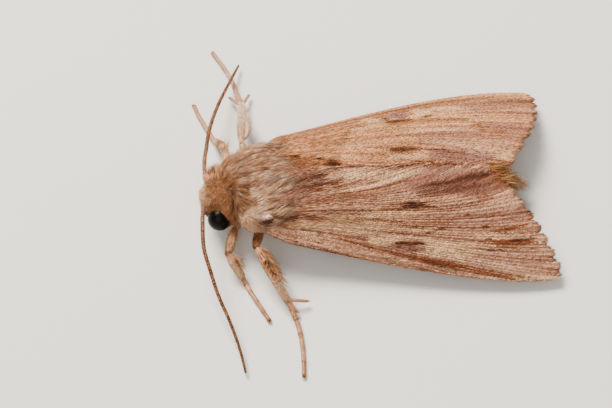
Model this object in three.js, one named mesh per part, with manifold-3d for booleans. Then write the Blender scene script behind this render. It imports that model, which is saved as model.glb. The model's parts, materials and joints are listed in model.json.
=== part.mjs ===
// A large owlet moth at rest, life size, as a still museum model.
// Millimetres. +X runs from the head to the wing tips, -Y is the moth's left side, +Z is up,
// and the soles of its six feet lie on the floor at Z = 0.
import * as THREE from "three";
import { mergeVertices } from "three/addons/utils/BufferGeometryUtils.js";
import Module from "manifold-3d";

const wasm = await Module();
wasm.setup();

// ---- Driving dimensions ----------------------------------------------------------------------
// Stations along X are counted from the front of the face until the whole moth is centred at the end.
const THIN_CUT = 0.05; // gap that parts one piece from the next
const MERGE = 1e-4; // vertices closer than this are one vertex
const SLIVER = 0.004; // cuts leave no edge shorter than this
const WING_THICKNESS = 0.5;
const WING_SPACING = 0.15; // air between a forewing and the hindwing folded under it
const FEELER_RADIUS = 0.28;
const FOOT_RADIUS = 0.27;
const FOOT_HEIGHT = 0.21; // centre line of a foot above the floor, so that its sole is flat
const LEFT = -1;
const RIGHT = 1;
const SIDES = Object.entries({ left: LEFT, right: RIGHT });

// ---- Materials -------------------------------------------------------------------------------
const matte = (color, roughness = 0.85) => new THREE.MeshStandardMaterial({ color, roughness, metalness: 0 });
const FUR = matte("#c39c7e");
const COLLAR_FUR = matte("#b98560");
const WING_SCALES = matte("#c8a285");
const HINDWING_SCALES = matte("#b89a7c");
const ABDOMEN_FUR = matte("#b59272");
const LEG_SCALES = matte("#bb8f6a");
const FEELER_HORN = matte("#96664a", 0.6);
const EYE_GLAZE = matte("#14100e", 0.15);

// ---- From geometry to closed solids and back ---------------------------------------------------
function manifoldOf(positions, triangles) {
  return new wasm.Manifold(new wasm.Mesh({ numProp: 3, vertProperties: positions, triVerts: triangles }));
}

// A solid from a three.js geometry. A mirrored one comes in inside out, and its triangles are turned round.
function solidOf(geometry) {
  const plain = new THREE.BufferGeometry().setAttribute("position", geometry.getAttribute("position"));
  plain.setIndex(geometry.index);
  const merged = mergeVertices(plain, MERGE);
  const positions = merged.attributes.position.array;
  const triangles = new Uint32Array(merged.index.array);
  const solid = manifoldOf(positions, triangles);
  return solid.volume() > 0 ? solid : manifoldOf(positions, triangles.reverse());
}

function meshOf(name, solid, material) {
  const made = solid.simplify(SLIVER).getMesh();
  const positions = new Float32Array(made.numVert * 3);
  for (let i = 0; i < made.numVert; i++) {
    const start = i * made.numProp;
    positions.set(made.vertProperties.subarray(start, start + 3), i * 3);
  }
  const geometry = new THREE.BufferGeometry();
  geometry.setAttribute("position", new THREE.BufferAttribute(positions, 3));
  geometry.setIndex(new THREE.BufferAttribute(made.triVerts, 1));
  geometry.computeVertexNormals();
  const mesh = new THREE.Mesh(geometry, material);
  mesh.name = name;
  return mesh;
}

// Moves each vertex of a geometry to where place() says, which changes the vector that it is given.
function warp(geometry, place) {
  const position = geometry.getAttribute("position");
  const point = new THREE.Vector3();
  for (let i = 0; i < position.count; i++) {
    place(point.fromBufferAttribute(position, i));
    position.setXYZ(i, point.x, point.y, point.z);
  }
  return geometry;
}

// ---- Shapes ------------------------------------------------------------------------------------
// An egg with its long axis on X. A taper narrows it towards +X. Pitch lifts its +X end, yaw swings it to +Y.
// grow makes it that much bigger all round.
function egg({ at, size, taper = 0, pitch = 0, yaw = 0, sides = 16, rings = 10 }, grow = 0) {
  const geometry = new THREE.SphereGeometry(0.5, sides, rings).rotateZ(Math.PI / 2);
  warp(geometry, (p) => {
    const narrowing = 1 - taper * 2 * p.x;
    p.y *= narrowing;
    p.z *= narrowing;
  });
  geometry.scale(...size.map((length) => length + 2 * grow));
  geometry.rotateY(-pitch);
  geometry.rotateZ(yaw);
  geometry.translate(...at);
  return solidOf(geometry);
}

// A straight limb segment that swells and tapers: its radii are spaced evenly along it, between pointed ends.
function spindle(from, to, radii, sides = 8) {
  const start = new THREE.Vector3(...from);
  const along = new THREE.Vector3(...to).sub(start);
  const length = along.length();
  const profile = [new THREE.Vector2(0, 0)];
  radii.forEach((radius, i) => {
    const share = radii.length > 1 ? i / (radii.length - 1) : 0.5;
    profile.push(new THREE.Vector2(radius, length * (0.03 + 0.94 * share)));
  });
  profile.push(new THREE.Vector2(0, length));
  const geometry = new THREE.LatheGeometry(profile, sides);
  geometry.applyQuaternion(new THREE.Quaternion().setFromUnitVectors(new THREE.Vector3(0, 1, 0), along.normalize()));
  geometry.translate(start.x, start.y, start.z);
  return solidOf(geometry);
}

// A feeler: an even tube along a smooth curve.
function tube(points, radius, steps, sides = 6) {
  const section = new THREE.Shape();
  for (let i = 0; i < sides; i++) {
    const angle = (2 * Math.PI * i) / sides;
    const corner = [radius * Math.cos(angle), radius * Math.sin(angle)];
    if (i === 0) section.moveTo(...corner);
    else section.lineTo(...corner);
  }
  const path = new THREE.CatmullRomCurve3(points.map((p) => new THREE.Vector3(...p)));
  return solidOf(new THREE.ExtrudeGeometry(section, { steps, extrudePath: path, bevelEnabled: false }));
}

const FLOOR_SLAB = solidOf(new THREE.BoxGeometry(80, 80, 4).translate(0, 0, -2));
const onFloor = (solid) => solid.subtract(FLOOR_SLAB);
const join = (solids) => solids.reduce((sum, solid) => sum.add(solid));

// ---- Head, thorax and abdomen --------------------------------------------------------------------
const THORAX = { at: [6.1, 0, 3.0], size: [7.6, 6.8, 4.5], taper: 0.16, sides: 18, rings: 12 };
const COLLAR = { at: [3.0, 0, 3.1], size: [3.2, 5.7, 3.4], pitch: 0.1 };
const HEAD = { at: [1.85, 0, 2.5], size: [2.5, 3.3, 2.6], sides: 14, rings: 10 };
const tegulaOf = (side) => ({ at: [5.2, side * 2.5, 3.2], size: [5.0, 2.7, 3.0], yaw: -side * 0.04 });
const eyeOf = (side) => ({ at: [1.68, side * 1.55, 2.0], size: [1.72, 1.72, 1.8], sides: 12, rings: 8 });
const TAIL_TUFT = { at: [22.9, 0, 1.5], size: [3.4, 1.8, 1.1], taper: 0.2, yaw: -0.1, sides: 10, rings: 8 };

const thorax = egg(THORAX);
const aroundThorax = egg(THORAX, THIN_CUT);
const aroundCollar = egg(COLLAR, THIN_CUT);
const aroundHead = egg(HEAD, THIN_CUT);
const collar = egg(COLLAR).subtract(aroundThorax);
const aroundEyes = join(SIDES.map(([, side]) => egg(eyeOf(side), THIN_CUT)));
const head = egg(HEAD).subtract(aroundThorax).subtract(aroundCollar).subtract(aroundEyes);

const eye = (side) => egg(eyeOf(side)).subtract(aroundCollar).subtract(aroundThorax);
const tegula = (side) => egg(tegulaOf(side)).subtract(aroundThorax).subtract(aroundCollar);
const aroundTegula = (side) => egg(tegulaOf(side), THIN_CUT);

// The abdomen is turned on a lathe, flattened, and its axis sinks towards the tail. Its seven rings show as soft steps.
const ABDOMEN = { front: 8.0, length: 14.2, halfWidth: 2.05, flatness: 0.74, axisHeight: 2.15, axisSink: 0.65 };
const ABDOMEN_RINGS = 7;

function abdomenSolid() {
  const profile = [new THREE.Vector2(0, 0)];
  for (let ring = 0; ring < ABDOMEN_RINGS; ring++) {
    const front = ring / ABDOMEN_RINGS;
    const back = (ring + 0.92) / ABDOMEN_RINGS;
    for (const share of [front + 0.02, back]) {
      const radius = ABDOMEN.halfWidth * Math.pow(Math.cos((share * Math.PI) / 2), 0.55);
      profile.push(new THREE.Vector2(radius * (share === back ? 1 : 0.96), ABDOMEN.length * share));
    }
  }
  profile.push(new THREE.Vector2(0, ABDOMEN.length));
  const geometry = new THREE.LatheGeometry(profile, 12).rotateZ(-Math.PI / 2);
  warp(geometry, (p) => {
    const sink = ABDOMEN.axisSink * Math.pow(p.x / ABDOMEN.length, 1.2);
    p.set(p.x + ABDOMEN.front, p.y, p.z * ABDOMEN.flatness + ABDOMEN.axisHeight - sink);
  });
  return solidOf(geometry).subtract(aroundThorax);
}
const abdomen = abdomenSolid();
const aroundTail = egg(TAIL_TUFT, THIN_CUT);

// ---- Wings ---------------------------------------------------------------------------------------
// A forewing's top surface lies between two curves: the costa, its outer edge low over the floor, and the
// dorsum, its inner edge along the ridge of the roof. Both are given for the right side, where Y is positive.
const COSTA = new THREE.CubicBezierCurve3(
  new THREE.Vector3(4.2, 4.0, 3.2),
  new THREE.Vector3(9.5, 5.6, 1.9),
  new THREE.Vector3(19.5, 9.55, 0.95),
  new THREE.Vector3(25.55, 8.2, 0.8),
);
const DORSUM = new THREE.CubicBezierCurve3(
  new THREE.Vector3(5.2, 1.6, 4.4),
  new THREE.Vector3(7.2, -0.6, 5.9),
  new THREE.Vector3(14.5, 0.3, 4.9),
  new THREE.Vector3(21.6, 0.12, 3.25),
);
const ARCH_POWER = 1.6; // the roof is flat at the ridge and falls more steeply to the costa
// The two wings lie a little differently. tip and ridge say how far the wing is drawn back at its costa and at
// the ridge, and fold how far it is folded in. The bulge is how far the outer margin bows out between them,
// squareness below 1 makes that bow fuller, and hollow draws in the middle of the costa.
const WING_SET = {
  [LEFT]: { tip: 0.65, ridge: -0.1, fold: 1, bulge: 0.62, squareness: 1, hollow: 0.4 },
  [RIGHT]: { tip: 0.55, ridge: -0.15, fold: 0.945, bulge: 2.2, squareness: 0.55, hollow: 0 },
};
const BOW_SKEW = 1.6; // the margin bows most nearer the ridge than the costa
const TIP_ROUNDING = 0.025;
const SCALLOPS = 9; // one between each pair of veins
const SCALLOP_DEPTH = 0.12;

// u runs from the wing's root to its outer margin, and v from the costa to the dorsum.
function wingPoint(u, v, side) {
  const { tip, ridge, fold, bulge, squareness, hollow } = WING_SET[side];
  const outer = COSTA.getPoint(u * (1 - TIP_ROUNDING * Math.pow(1 - v, 9)));
  const inner = DORSUM.getPoint(u);
  const point = outer.clone().lerp(inner, v);
  const drop = 1 - v;
  const bow = Math.pow(Math.max(Math.sin(Math.PI * Math.pow(v, BOW_SKEW)), 0), squareness);
  point.z += (inner.z - outer.z) * (drop - Math.pow(drop, ARCH_POWER));
  point.x += (tip * drop + ridge * v) * u;
  point.x += bulge * Math.pow(u, 6) * bow;
  point.y -= hollow * Math.sin(Math.PI * u) * drop;
  point.x += SCALLOP_DEPTH * Math.pow(u, 20) * Math.cos(2 * Math.PI * SCALLOPS * v);
  point.y *= side * (1 - (1 - fold) * u * drop);
  return point;
}

// A sheet of the wing's surface between two stations each way, sunk under the top surface by a depth.
function wingSheet({ side, fromU, toU, fromV, toV, depth, alongSteps, acrossSteps }) {
  const geometry = new THREE.BoxGeometry(1, 1, 1, alongSteps, acrossSteps, 1);
  warp(geometry, (p) => {
    const u = fromU + (toU - fromU) * (p.x + 0.5);
    const v = fromV + (toV - fromV) * (p.y + 0.5);
    const sunk = depth + (0.5 - p.z) * WING_THICKNESS;
    p.copy(wingPoint(u, v, side));
    p.z -= sunk;
  });
  return solidOf(geometry);
}

function forewing(side) {
  const sheet = { side, fromU: 0, toU: 1, fromV: 0, toV: 1, depth: 0, alongSteps: 10, acrossSteps: 2 * SCALLOPS };
  return wingSheet(sheet).subtract(aroundThorax).subtract(aroundTegula(side));
}

function hindwing(side) {
  const depth = WING_THICKNESS + WING_SPACING;
  const sheet = { side, fromU: 0.2, toU: 0.985, fromV: 0.22, toV: 0.94, depth, alongSteps: 8, acrossSteps: 6 };
  return wingSheet(sheet).subtract(aroundThorax).subtract(aroundTegula(side)).subtract(aroundTail);
}

// ---- Feelers, palps and tongue ---------------------------------------------------------------------
const ANTENNA_PATHS = {
  left: [
    [1.15, -0.75, 3.2],
    [0.62, -1.35, 3.42],
    [0.42, -2.7, 3.28],
    [0.36, -4.45, 2.9],
    [0.65, -6.0, 2.45],
    [1.05, -7.75, 1.9],
    [1.58, -9.3, 1.4],
    [2.0, -10.7, 0.95],
    [2.3, -12.1, 0.6],
    [2.45, -13.3, 0.42],
  ],
  right: [
    [1.15, 0.75, 3.2],
    [0.85, 1.5, 3.4],
    [0.85, 2.6, 3.35],
    [1.15, 3.9, 3.1],
    [1.5, 5.3, 2.8],
    [1.95, 6.9, 2.4],
    [2.5, 8.5, 1.9],
    [3.15, 10.1, 1.35],
    [3.75, 11.5, 0.85],
    [4.3, 12.7, 0.5],
  ],
};
const antenna = (name) => tube(ANTENNA_PATHS[name], FEELER_RADIUS, 20).subtract(aroundHead);

const palp = (side) =>
  spindle([1.4, side * 0.66, 1.05], [0.55, side * 0.5, 2.75], [0.3, 0.38, 0.36, 0.28], 8).subtract(aroundHead);

// The tongue is coiled like a watch spring between the palps.
function tongue() {
  const geometry = new THREE.CylinderGeometry(0.42, 0.42, 0.5, 12, 1);
  geometry.translate(1.35, 0, 1.1);
  return solidOf(geometry).subtract(aroundHead);
}

// ---- Legs --------------------------------------------------------------------------------------------
// Each leg is coxa, femur, tibia and foot. Its joints are given in order: hip, trochanter, knee and ankle.
// The foot's points follow, the spurs stand at the end of the tibia.
const HIND_FOOT = [
  [15.6, 5.25, 0.3],
  [17.2, 5.45, FOOT_HEIGHT],
  [18.8, 5.55, FOOT_HEIGHT],
  [20.2, 5.55, FOOT_HEIGHT],
];
const onLeft = ([x, y, z]) => [x, -y, z];
const LEGS = {
  fore_left: {
    joints: [[3.4, -0.95, 1.8], [2.75, -1.75, 0.95], [2.05, -4.35, 1.75], [2.85, -5.6, 0.65]],
    foot: [[3.2, -6.25, FOOT_HEIGHT], [3.6, -7.2, FOOT_HEIGHT], [4.05, -8.2, FOOT_HEIGHT], [4.5, -9.2, FOOT_HEIGHT]],
    spurs: [],
  },
  fore_right: {
    joints: [[3.4, 0.95, 1.8], [2.8, 1.75, 0.95], [2.6, 4.5, 1.75], [2.1, 5.9, 0.65]],
    foot: [[1.8, 6.6, FOOT_HEIGHT], [1.4, 7.6, FOOT_HEIGHT], [1.0, 8.6, FOOT_HEIGHT], [0.7, 9.6, FOOT_HEIGHT]],
    spurs: [],
  },
  mid_left: {
    joints: [[5.1, -0.9, 1.5], [4.65, -1.75, 0.9], [4.05, -4.25, 2.3], [6.0, -8.3, 0.85]],
    foot: [[6.45, -9.7, 0.36], [6.62, -11.1, FOOT_HEIGHT], [6.6, -12.5, FOOT_HEIGHT], [6.5, -13.9, FOOT_HEIGHT]],
    spurs: [[7.5, -8.15, 0.5], [6.62, -8.95, 0.42]],
  },
  mid_right: {
    joints: [[5.1, 0.9, 1.5], [4.55, 1.75, 0.9], [3.85, 4.65, 2.3], [4.2, 9.0, 0.85]],
    foot: [[3.95, 10.35, 0.36], [3.7, 11.6, FOOT_HEIGHT], [3.2, 12.9, FOOT_HEIGHT], [2.5, 14.3, FOOT_HEIGHT]],
    spurs: [[4.9, 10.1, 0.42], [3.35, 9.95, 0.45]],
  },
  hind_left: {
    joints: [[7.1, -0.9, 1.4], [7.3, -1.7, 0.95], [9.1, -3.9, 1.6], [14.0, -4.95, 0.68]],
    foot: HIND_FOOT.map(onLeft),
    spurs: [[14.6, -4.2, 0.45], [14.9, -5.75, 0.42]],
  },
  hind_right: {
    joints: [[7.1, 0.9, 1.4], [7.3, 1.7, 0.95], [9.1, 3.9, 1.6], [14.0, 4.95, 0.68]],
    foot: HIND_FOOT,
    spurs: [[14.6, 4.2, 0.45], [14.9, 5.75, 0.42]],
  },
};

const clearOfTrunk = (solid, side) => {
  const clearOfBody = solid.subtract(aroundThorax).subtract(aroundCollar).subtract(aroundHead).subtract(aroundEyes);
  return clearOfBody.subtract(aroundTegula(side));
};

// The point a distance along the way from one joint to the next, which leaves the thin cut at the joint.
function towards(from, to, distance) {
  const start = new THREE.Vector3(...from);
  const step = new THREE.Vector3(...to).sub(start).setLength(distance);
  return start.add(step).toArray();
}

function legPieces({ joints, foot, spurs }, side) {
  const [hip, trochanter, knee, ankle] = joints;
  const coxa = clearOfTrunk(spindle(hip, trochanter, [0.45, 0.5, 0.34]), side);
  const thigh = spindle(towards(trochanter, knee, THIN_CUT), towards(knee, trochanter, THIN_CUT), [0.25, 0.4, 0.36, 0.25]);
  const femur = clearOfTrunk(thigh, side).subtract(coxa);
  const shin = spindle(towards(knee, ankle, THIN_CUT), towards(ankle, knee, THIN_CUT), [0.25, 0.38, 0.36, 0.3, 0.26]);
  const spurRoot = towards(ankle, knee, 0.35);
  const spurPieces = spurs.map((tip) => spindle(spurRoot, tip, [0.2, 0.26, 0.2], 6));
  const tibia = clearOfTrunk(onFloor(join([shin, ...spurPieces])), side).subtract(femur);
  const sole = tube([towards(ankle, foot[0], THIN_CUT), ...foot], FOOT_RADIUS, 9);
  return { coxa, femur, tibia, tarsus: onFloor(sole).subtract(tibia) };
}

// ---- Assembly ------------------------------------------------------------------------------------------
const moth = new THREE.Group();
const place = (name, solid, material) => moth.add(meshOf(name, solid, material));

place("head", head, FUR);
place("collar", collar, COLLAR_FUR);
place("thorax", thorax, FUR);
place("abdomen", abdomen.subtract(aroundTail), ABDOMEN_FUR);
place("tail_tuft", egg(TAIL_TUFT), ABDOMEN_FUR);
place("tongue", tongue(), FEELER_HORN);
for (const [name, side] of SIDES) {
  place(`eye_${name}`, eye(side), EYE_GLAZE);
  place(`antenna_${name}`, antenna(name), FEELER_HORN);
  place(`palp_${name}`, palp(side), FUR);
  place(`tegula_${name}`, tegula(side), FUR);
  place(`forewing_${name}`, forewing(side), WING_SCALES);
  place(`hindwing_${name}`, hindwing(side), HINDWING_SCALES);
}
for (const [name, leg] of Object.entries(LEGS)) {
  const side = name.endsWith("left") ? LEFT : RIGHT;
  for (const [piece, solid] of Object.entries(legPieces(leg, side))) {
    place(`leg_${name}_${piece}`, solid, LEG_SCALES);
  }
}

// The origin is on the floor, under the middle of the moth's outline.
const extent = new THREE.Box3().setFromObject(moth, true);
const middle = extent.getCenter(new THREE.Vector3());
moth.position.set(-middle.x, -middle.y, 0);

export default moth;
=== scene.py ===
# %% [markdown]
# # A resting owlet moth, life size
# A stout, furry moth sits with its wings folded in a low roof. The solids of the frame give its sizes.
# This lesson dresses them: a skin for the body, wings thin as paper, and a coat of scales and hair.
# A moth's "dust" and "fur" are both scales, flat on the wings and drawn out to hairs on the body.

# %% The fixed frame and the tools
import math

import bpy
import numpy as np
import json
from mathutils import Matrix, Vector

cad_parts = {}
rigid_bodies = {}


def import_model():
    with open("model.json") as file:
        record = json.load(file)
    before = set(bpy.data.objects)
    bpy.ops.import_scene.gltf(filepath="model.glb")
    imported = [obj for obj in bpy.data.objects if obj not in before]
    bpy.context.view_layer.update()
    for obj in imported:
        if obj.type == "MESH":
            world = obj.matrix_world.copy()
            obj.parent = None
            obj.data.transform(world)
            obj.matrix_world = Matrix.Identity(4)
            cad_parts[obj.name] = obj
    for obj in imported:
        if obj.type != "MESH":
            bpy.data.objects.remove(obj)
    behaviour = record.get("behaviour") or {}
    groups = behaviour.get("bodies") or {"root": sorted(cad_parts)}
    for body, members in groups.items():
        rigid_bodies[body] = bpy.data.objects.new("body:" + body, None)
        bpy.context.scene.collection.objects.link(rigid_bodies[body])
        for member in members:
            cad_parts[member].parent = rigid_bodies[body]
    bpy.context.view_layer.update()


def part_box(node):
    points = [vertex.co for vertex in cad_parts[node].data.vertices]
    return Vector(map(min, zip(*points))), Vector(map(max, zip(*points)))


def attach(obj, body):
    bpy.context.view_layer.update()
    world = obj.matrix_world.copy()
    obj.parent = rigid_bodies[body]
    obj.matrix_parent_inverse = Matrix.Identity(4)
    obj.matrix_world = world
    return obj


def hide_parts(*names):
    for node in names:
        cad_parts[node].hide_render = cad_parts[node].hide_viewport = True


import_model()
bpy.ops.object.select_all(action="DESELECT")
MM = 0.001

# %% [markdown]
# Lengths here are millimetres, counted along X from the moth's face, as the solids' own maker counts them.
# The thorax is even on both sides, so the middle of its box says where those stations lie in the frame.

# %% From stations to the frame
THORAX_MIDDLE = 6.1
thorax_low, thorax_high = (np.array(corner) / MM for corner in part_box("thorax"))
SHIFT = (thorax_low + thorax_high) / 2 * (1, 1, 0) - (THORAX_MIDDLE, 0, 0)
LEFT, RIGHT = -1, 1
SIDES = {"left": LEFT, "right": RIGHT}
print("shift", SHIFT.round(3))


def metres(points):
    return (np.asarray(points, float) + SHIFT) * MM


def unit(vectors):
    return vectors / np.maximum(np.linalg.norm(vectors, axis=-1, keepdims=True), 1e-9)


def smoothstep(low, high, x):
    t = np.clip((x - low) / (high - low), 0, 1)
    return t * t * (3 - 2 * t)

# %% [markdown]
# The camera looks down on the moth's left side through a long lens, as one does over a macro lens.

# %% Camera
LOOK_AT = (8.0, -0.95, 2.0)
CAMERA_AZIMUTH, CAMERA_ELEVATION = math.radians(-6), math.radians(58)
CAMERA_DISTANCE = 180.0
FIELD_WIDTH = 44.12  # what the frame takes in at that distance
SENSOR_WIDTH = 36


def direction(azimuth, elevation):
    """From the moth towards a camera or lamp, in radians. An azimuth of 0 is square to the moth's left side."""
    level = math.cos(elevation)
    return np.array([math.sin(azimuth) * level, -math.cos(azimuth) * level, math.sin(elevation)])


bpy.ops.object.camera_add(
    location=metres(np.array(LOOK_AT) + direction(CAMERA_AZIMUTH, CAMERA_ELEVATION) * CAMERA_DISTANCE),
    rotation=(math.pi / 2 - CAMERA_ELEVATION, 0, CAMERA_AZIMUTH),
)
camera = bpy.context.object
camera.data.sensor_width = SENSOR_WIDTH
camera.data.lens = SENSOR_WIDTH * CAMERA_DISTANCE / FIELD_WIDTH
camera.data.clip_start = 0.01
bpy.context.scene.camera = camera
print("lens", round(camera.data.lens, 1), "mm")

# %% [markdown]
# ## Materials
# One function adds any shader node, with its settings and links. Another turns a painter's hex colour
# into the linear light values that Blender works in.

# %% Two helpers for materials
def add(tree, kind, inputs=None, **settings):
    node = tree.nodes.new(kind)
    for name, value in settings.items():
        setattr(node, name, value)
    for name, value in (inputs or {}).items():
        if isinstance(value, bpy.types.NodeSocket):
            tree.links.new(value, node.inputs[name])
        else:
            node.inputs[name].default_value = value
    return node


def linear(code, alpha=1.0):
    channels = [int(code[i : i + 2], 16) / 255 for i in (1, 3, 5)]
    return (*[c / 12.92 if c <= 0.04045 else ((c + 0.055) / 1.055) ** 2.4 for c in channels], alpha)


print("mid grey in linear light:", [round(channel, 3) for channel in linear("#808080")[:3]])


def new_material(name):
    material = bpy.data.materials.new(name)
    material.use_nodes = True
    material.node_tree.nodes.clear()
    return material, material.node_tree

# %% [markdown]
# Each finished piece gets its material and rides on the one body of a still model. Where it stands for solids of
# the frame, those are hidden.

# %% Placing and dressing a piece
def placed(name, data):
    thing = bpy.data.objects.new(name, data)
    bpy.context.scene.collection.objects.link(thing)
    return thing


def dress(piece, material, slot, *solids):
    piece.data.materials.append(material)
    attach(piece, "root")
    if solids:
        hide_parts(*solids)

# %% [markdown]
# Scales and hairs share one kind of paint. Each carries how dark, rusty, pale or grey its root's marking is,
# a chance of its own, and how far along it a point lies. The chance picks a shade of the plain ground, and the
# paint lays the four pigments over it, the darkest last. Towards the root it then paints shade, where the hairs
# or scales lying over it would shade it.

# %% The paint of scales and hairs
MASKS = ("dark", "rust", "pale", "grey")
# The sockets of a colour Mix node go by number here, because the node repeats their names.
MIX_FACTOR, MIX_BELOW, MIX_ABOVE = 0, 6, 7


def scale_paint(name, ground, dark, rust, pale, grey, painted_shade_at_root=0.62, roughness=0.6, sheen=0.03):
    """ground is the plain colour in three shades, from dark to light. Each root is darkened as painted shade."""
    material, tree = new_material(name)
    marking = {
        key: add(tree, "ShaderNodeAttribute", attribute_name=key).outputs["Fac"]
        for key in (*MASKS, "chance", "along")
    }
    ramp = add(tree, "ShaderNodeValToRGB", {"Fac": marking["chance"]})
    ramp.color_ramp.elements[0].color = linear(ground[0])
    ramp.color_ramp.elements[1].color = linear(ground[2])
    ramp.color_ramp.elements.new(0.5).color = linear(ground[1])
    colour = ramp.outputs["Color"]
    for mask, pigment in {"pale": pale, "grey": grey, "rust": rust, "dark": dark}.items():
        inputs = {MIX_FACTOR: marking[mask], MIX_BELOW: colour, MIX_ABOVE: linear(pigment)}
        colour = add(tree, "ShaderNodeMix", inputs, data_type="RGBA").outputs[2]
    # Painted shade: the colour darkens towards each root, where what lies over it would shade it.
    along = add(tree, "ShaderNodeMapRange", {"Value": marking["along"], "To Min": painted_shade_at_root, "To Max": 1.0})
    inputs = {MIX_FACTOR: 1.0, MIX_BELOW: colour, MIX_ABOVE: along.outputs[0]}
    shaded = add(tree, "ShaderNodeMix", inputs, data_type="RGBA", blend_type="MULTIPLY")
    shader = add(
        tree,
        "ShaderNodeBsdfPrincipled",
        {
            "Base Color": shaded.outputs[2],
            "Roughness": roughness,
            "Specular IOR Level": 0.10,
            "Sheen Weight": sheen,
            "Sheen Roughness": 0.4,
        },
    )
    add(tree, "ShaderNodeOutputMaterial", {"Surface": shader.outputs[0]})
    return material

# %% [markdown]
# ## Many small things
# A hair is a closed, three-sided blade of ten faces. Blender can grow hair as curves, but a model that is
# handed on needs it as solid mesh. A whole coat's blades are worked out at once, as arrays, because tens of
# thousands of copies made one by one would take minutes.

# %% Blades laid on a surface
BLADE_STATIONS, BLADE_WIDTHS = np.array([0.0, 0.5, 1.0]), np.array([0.7, 1.0])
BLADE_FACES = np.array(
    [(0, 2, 1)]
    + [face for a, b in ((0, 1), (1, 2), (2, 0)) for face in ((a, b, 3 + b), (a, 3 + b, 3 + a))]
    + [(3, 4, 6), (4, 5, 6), (5, 3, 6)]
)


def blades(root, normal, lie, length, width, lift, droop, thickness=0.5):
    """Three-sided tapering blades. lift is the angle over the skin at the root, droop how far it bends back."""
    across = unit(np.cross(normal, lie))
    lie = np.cross(across, normal)
    n = len(root)
    length, width, lift, droop, thickness = (
        np.broadcast_to(np.asarray(v, float), n)[:, None] for v in (length, width, lift, droop, thickness)
    )
    points = np.empty((n, 7, 3))
    centre = root.copy()
    before = 0.0
    for i, station in enumerate(BLADE_STATIONS):
        angle = lift - droop * (station + before) / 2
        centre = centre + length * (station - before) * (np.cos(angle) * lie + np.sin(angle) * normal)
        before = station
        if i == 2:
            points[:, 6] = centre
            break
        half = width * BLADE_WIDTHS[i] / 2
        up = np.cos(angle) * normal - np.sin(angle) * lie
        points[:, 3 * i] = centre - across * half
        points[:, 3 * i + 1] = centre + across * half
        points[:, 3 * i + 2] = centre + up * half * 2 * thickness
    return points


print("a hair has", len(BLADE_FACES), "faces")

# %% [markdown]
# All the hairs or scales of a coat become one mesh. Each keeps its marking as numbers at its corners, and its
# small patch of the bake map lies where its root lies on the unwrap of the surface below.

# %% A coat as one mesh
BAKE_PATCH = 0.003  # the width of one hair's patch on the map


def give_numbers(mesh, columns):
    """Stores named numbers at a mesh's corners, for its material to read."""
    for key, column in columns.items():
        mesh.attributes.new(key, "FLOAT", "POINT").data.foreach_set("value", column.astype(np.float32))


def many(name, points, faces, material, slot, root_uv, values, along, local):
    """Joins n like shapes of k corners into one mesh, with their masks and bake map."""
    n, k = points.shape[:2]
    triangles = (np.arange(n)[:, None, None] * k + faces[None]).reshape(-1, 3)
    mesh = bpy.data.meshes.new(name)
    mesh.vertices.add(n * k)
    mesh.vertices.foreach_set("co", metres(points.reshape(-1, 3)).ravel())
    mesh.loops.add(triangles.size)
    mesh.loops.foreach_set("vertex_index", triangles.ravel())
    mesh.polygons.add(len(triangles))
    mesh.polygons.foreach_set("loop_start", np.arange(0, triangles.size, 3))
    mesh.polygons.foreach_set("loop_total", np.full(len(triangles), 3))
    mesh.update(calc_edges=True)
    mesh.shade_smooth()
    columns = {mask: np.repeat(np.broadcast_to(values.get(mask, 0.0), n), k) for mask in (*MASKS, "chance")}
    give_numbers(mesh, {**columns, "along": np.tile(along, n)})
    corners = (root_uv[:, None] + BAKE_PATCH * local[None]).reshape(-1, 2)
    bake_map = mesh.uv_layers.new(name="OFBake")
    bake_map.data.foreach_set("uv", corners[triangles.ravel()].astype(np.float32).ravel())
    dress(placed(name, mesh), material, slot)
    print(name, n, "shapes,", len(triangles), "triangles")


BLADE_ALONG = np.append(np.repeat(BLADE_STATIONS[:2], 3), 1.0)
BLADE_LOCAL = np.stack([np.append(np.tile([-0.5, 0.5, 0.0], 2), 0.0), BLADE_ALONG - 0.5], 1)


def coat(name, shapes, material, slot, root_uv, values):
    many(name, shapes, BLADE_FACES, material, slot, root_uv, values, BLADE_ALONG, BLADE_LOCAL)

# %% [markdown]
# Nature's edges are never ruled. A soft noise, the same on every run, breaks up markings and hair.

# %% A soft noise
NOISE_PERIOD = 257


def soft_noise(x, y, seed):
    """Values from 0 to 1 that change smoothly, about once for each step of 1 in x or y."""
    lattice = np.random.default_rng(seed).random((NOISE_PERIOD, NOISE_PERIOD))
    column, row = np.floor(x).astype(int), np.floor(y).astype(int)
    fx, fy = smoothstep(0, 1, x - column), smoothstep(0, 1, y - row)
    value = [lattice[(column + i) % NOISE_PERIOD, (row + j) % NOISE_PERIOD] for i in (0, 1) for j in (0, 1)]
    return (value[0] * (1 - fy) + value[1] * fy) * (1 - fx) + (value[2] * (1 - fy) + value[3] * fy) * fx


print("noise at four places:", soft_noise(np.arange(4) * 0.7, np.arange(4) * 0.3, 1).round(2))

# %% [markdown]
# ## The wings
# A wing is a membrane far thinner than a hair, stiffened by veins and shingled on both sides with scales.
# The same two curves as in the solids bound it: the costa, its leading edge, and the dorsum, along the ridge
# of the roof. u runs from root to outer margin, v from costa to dorsum.

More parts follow.
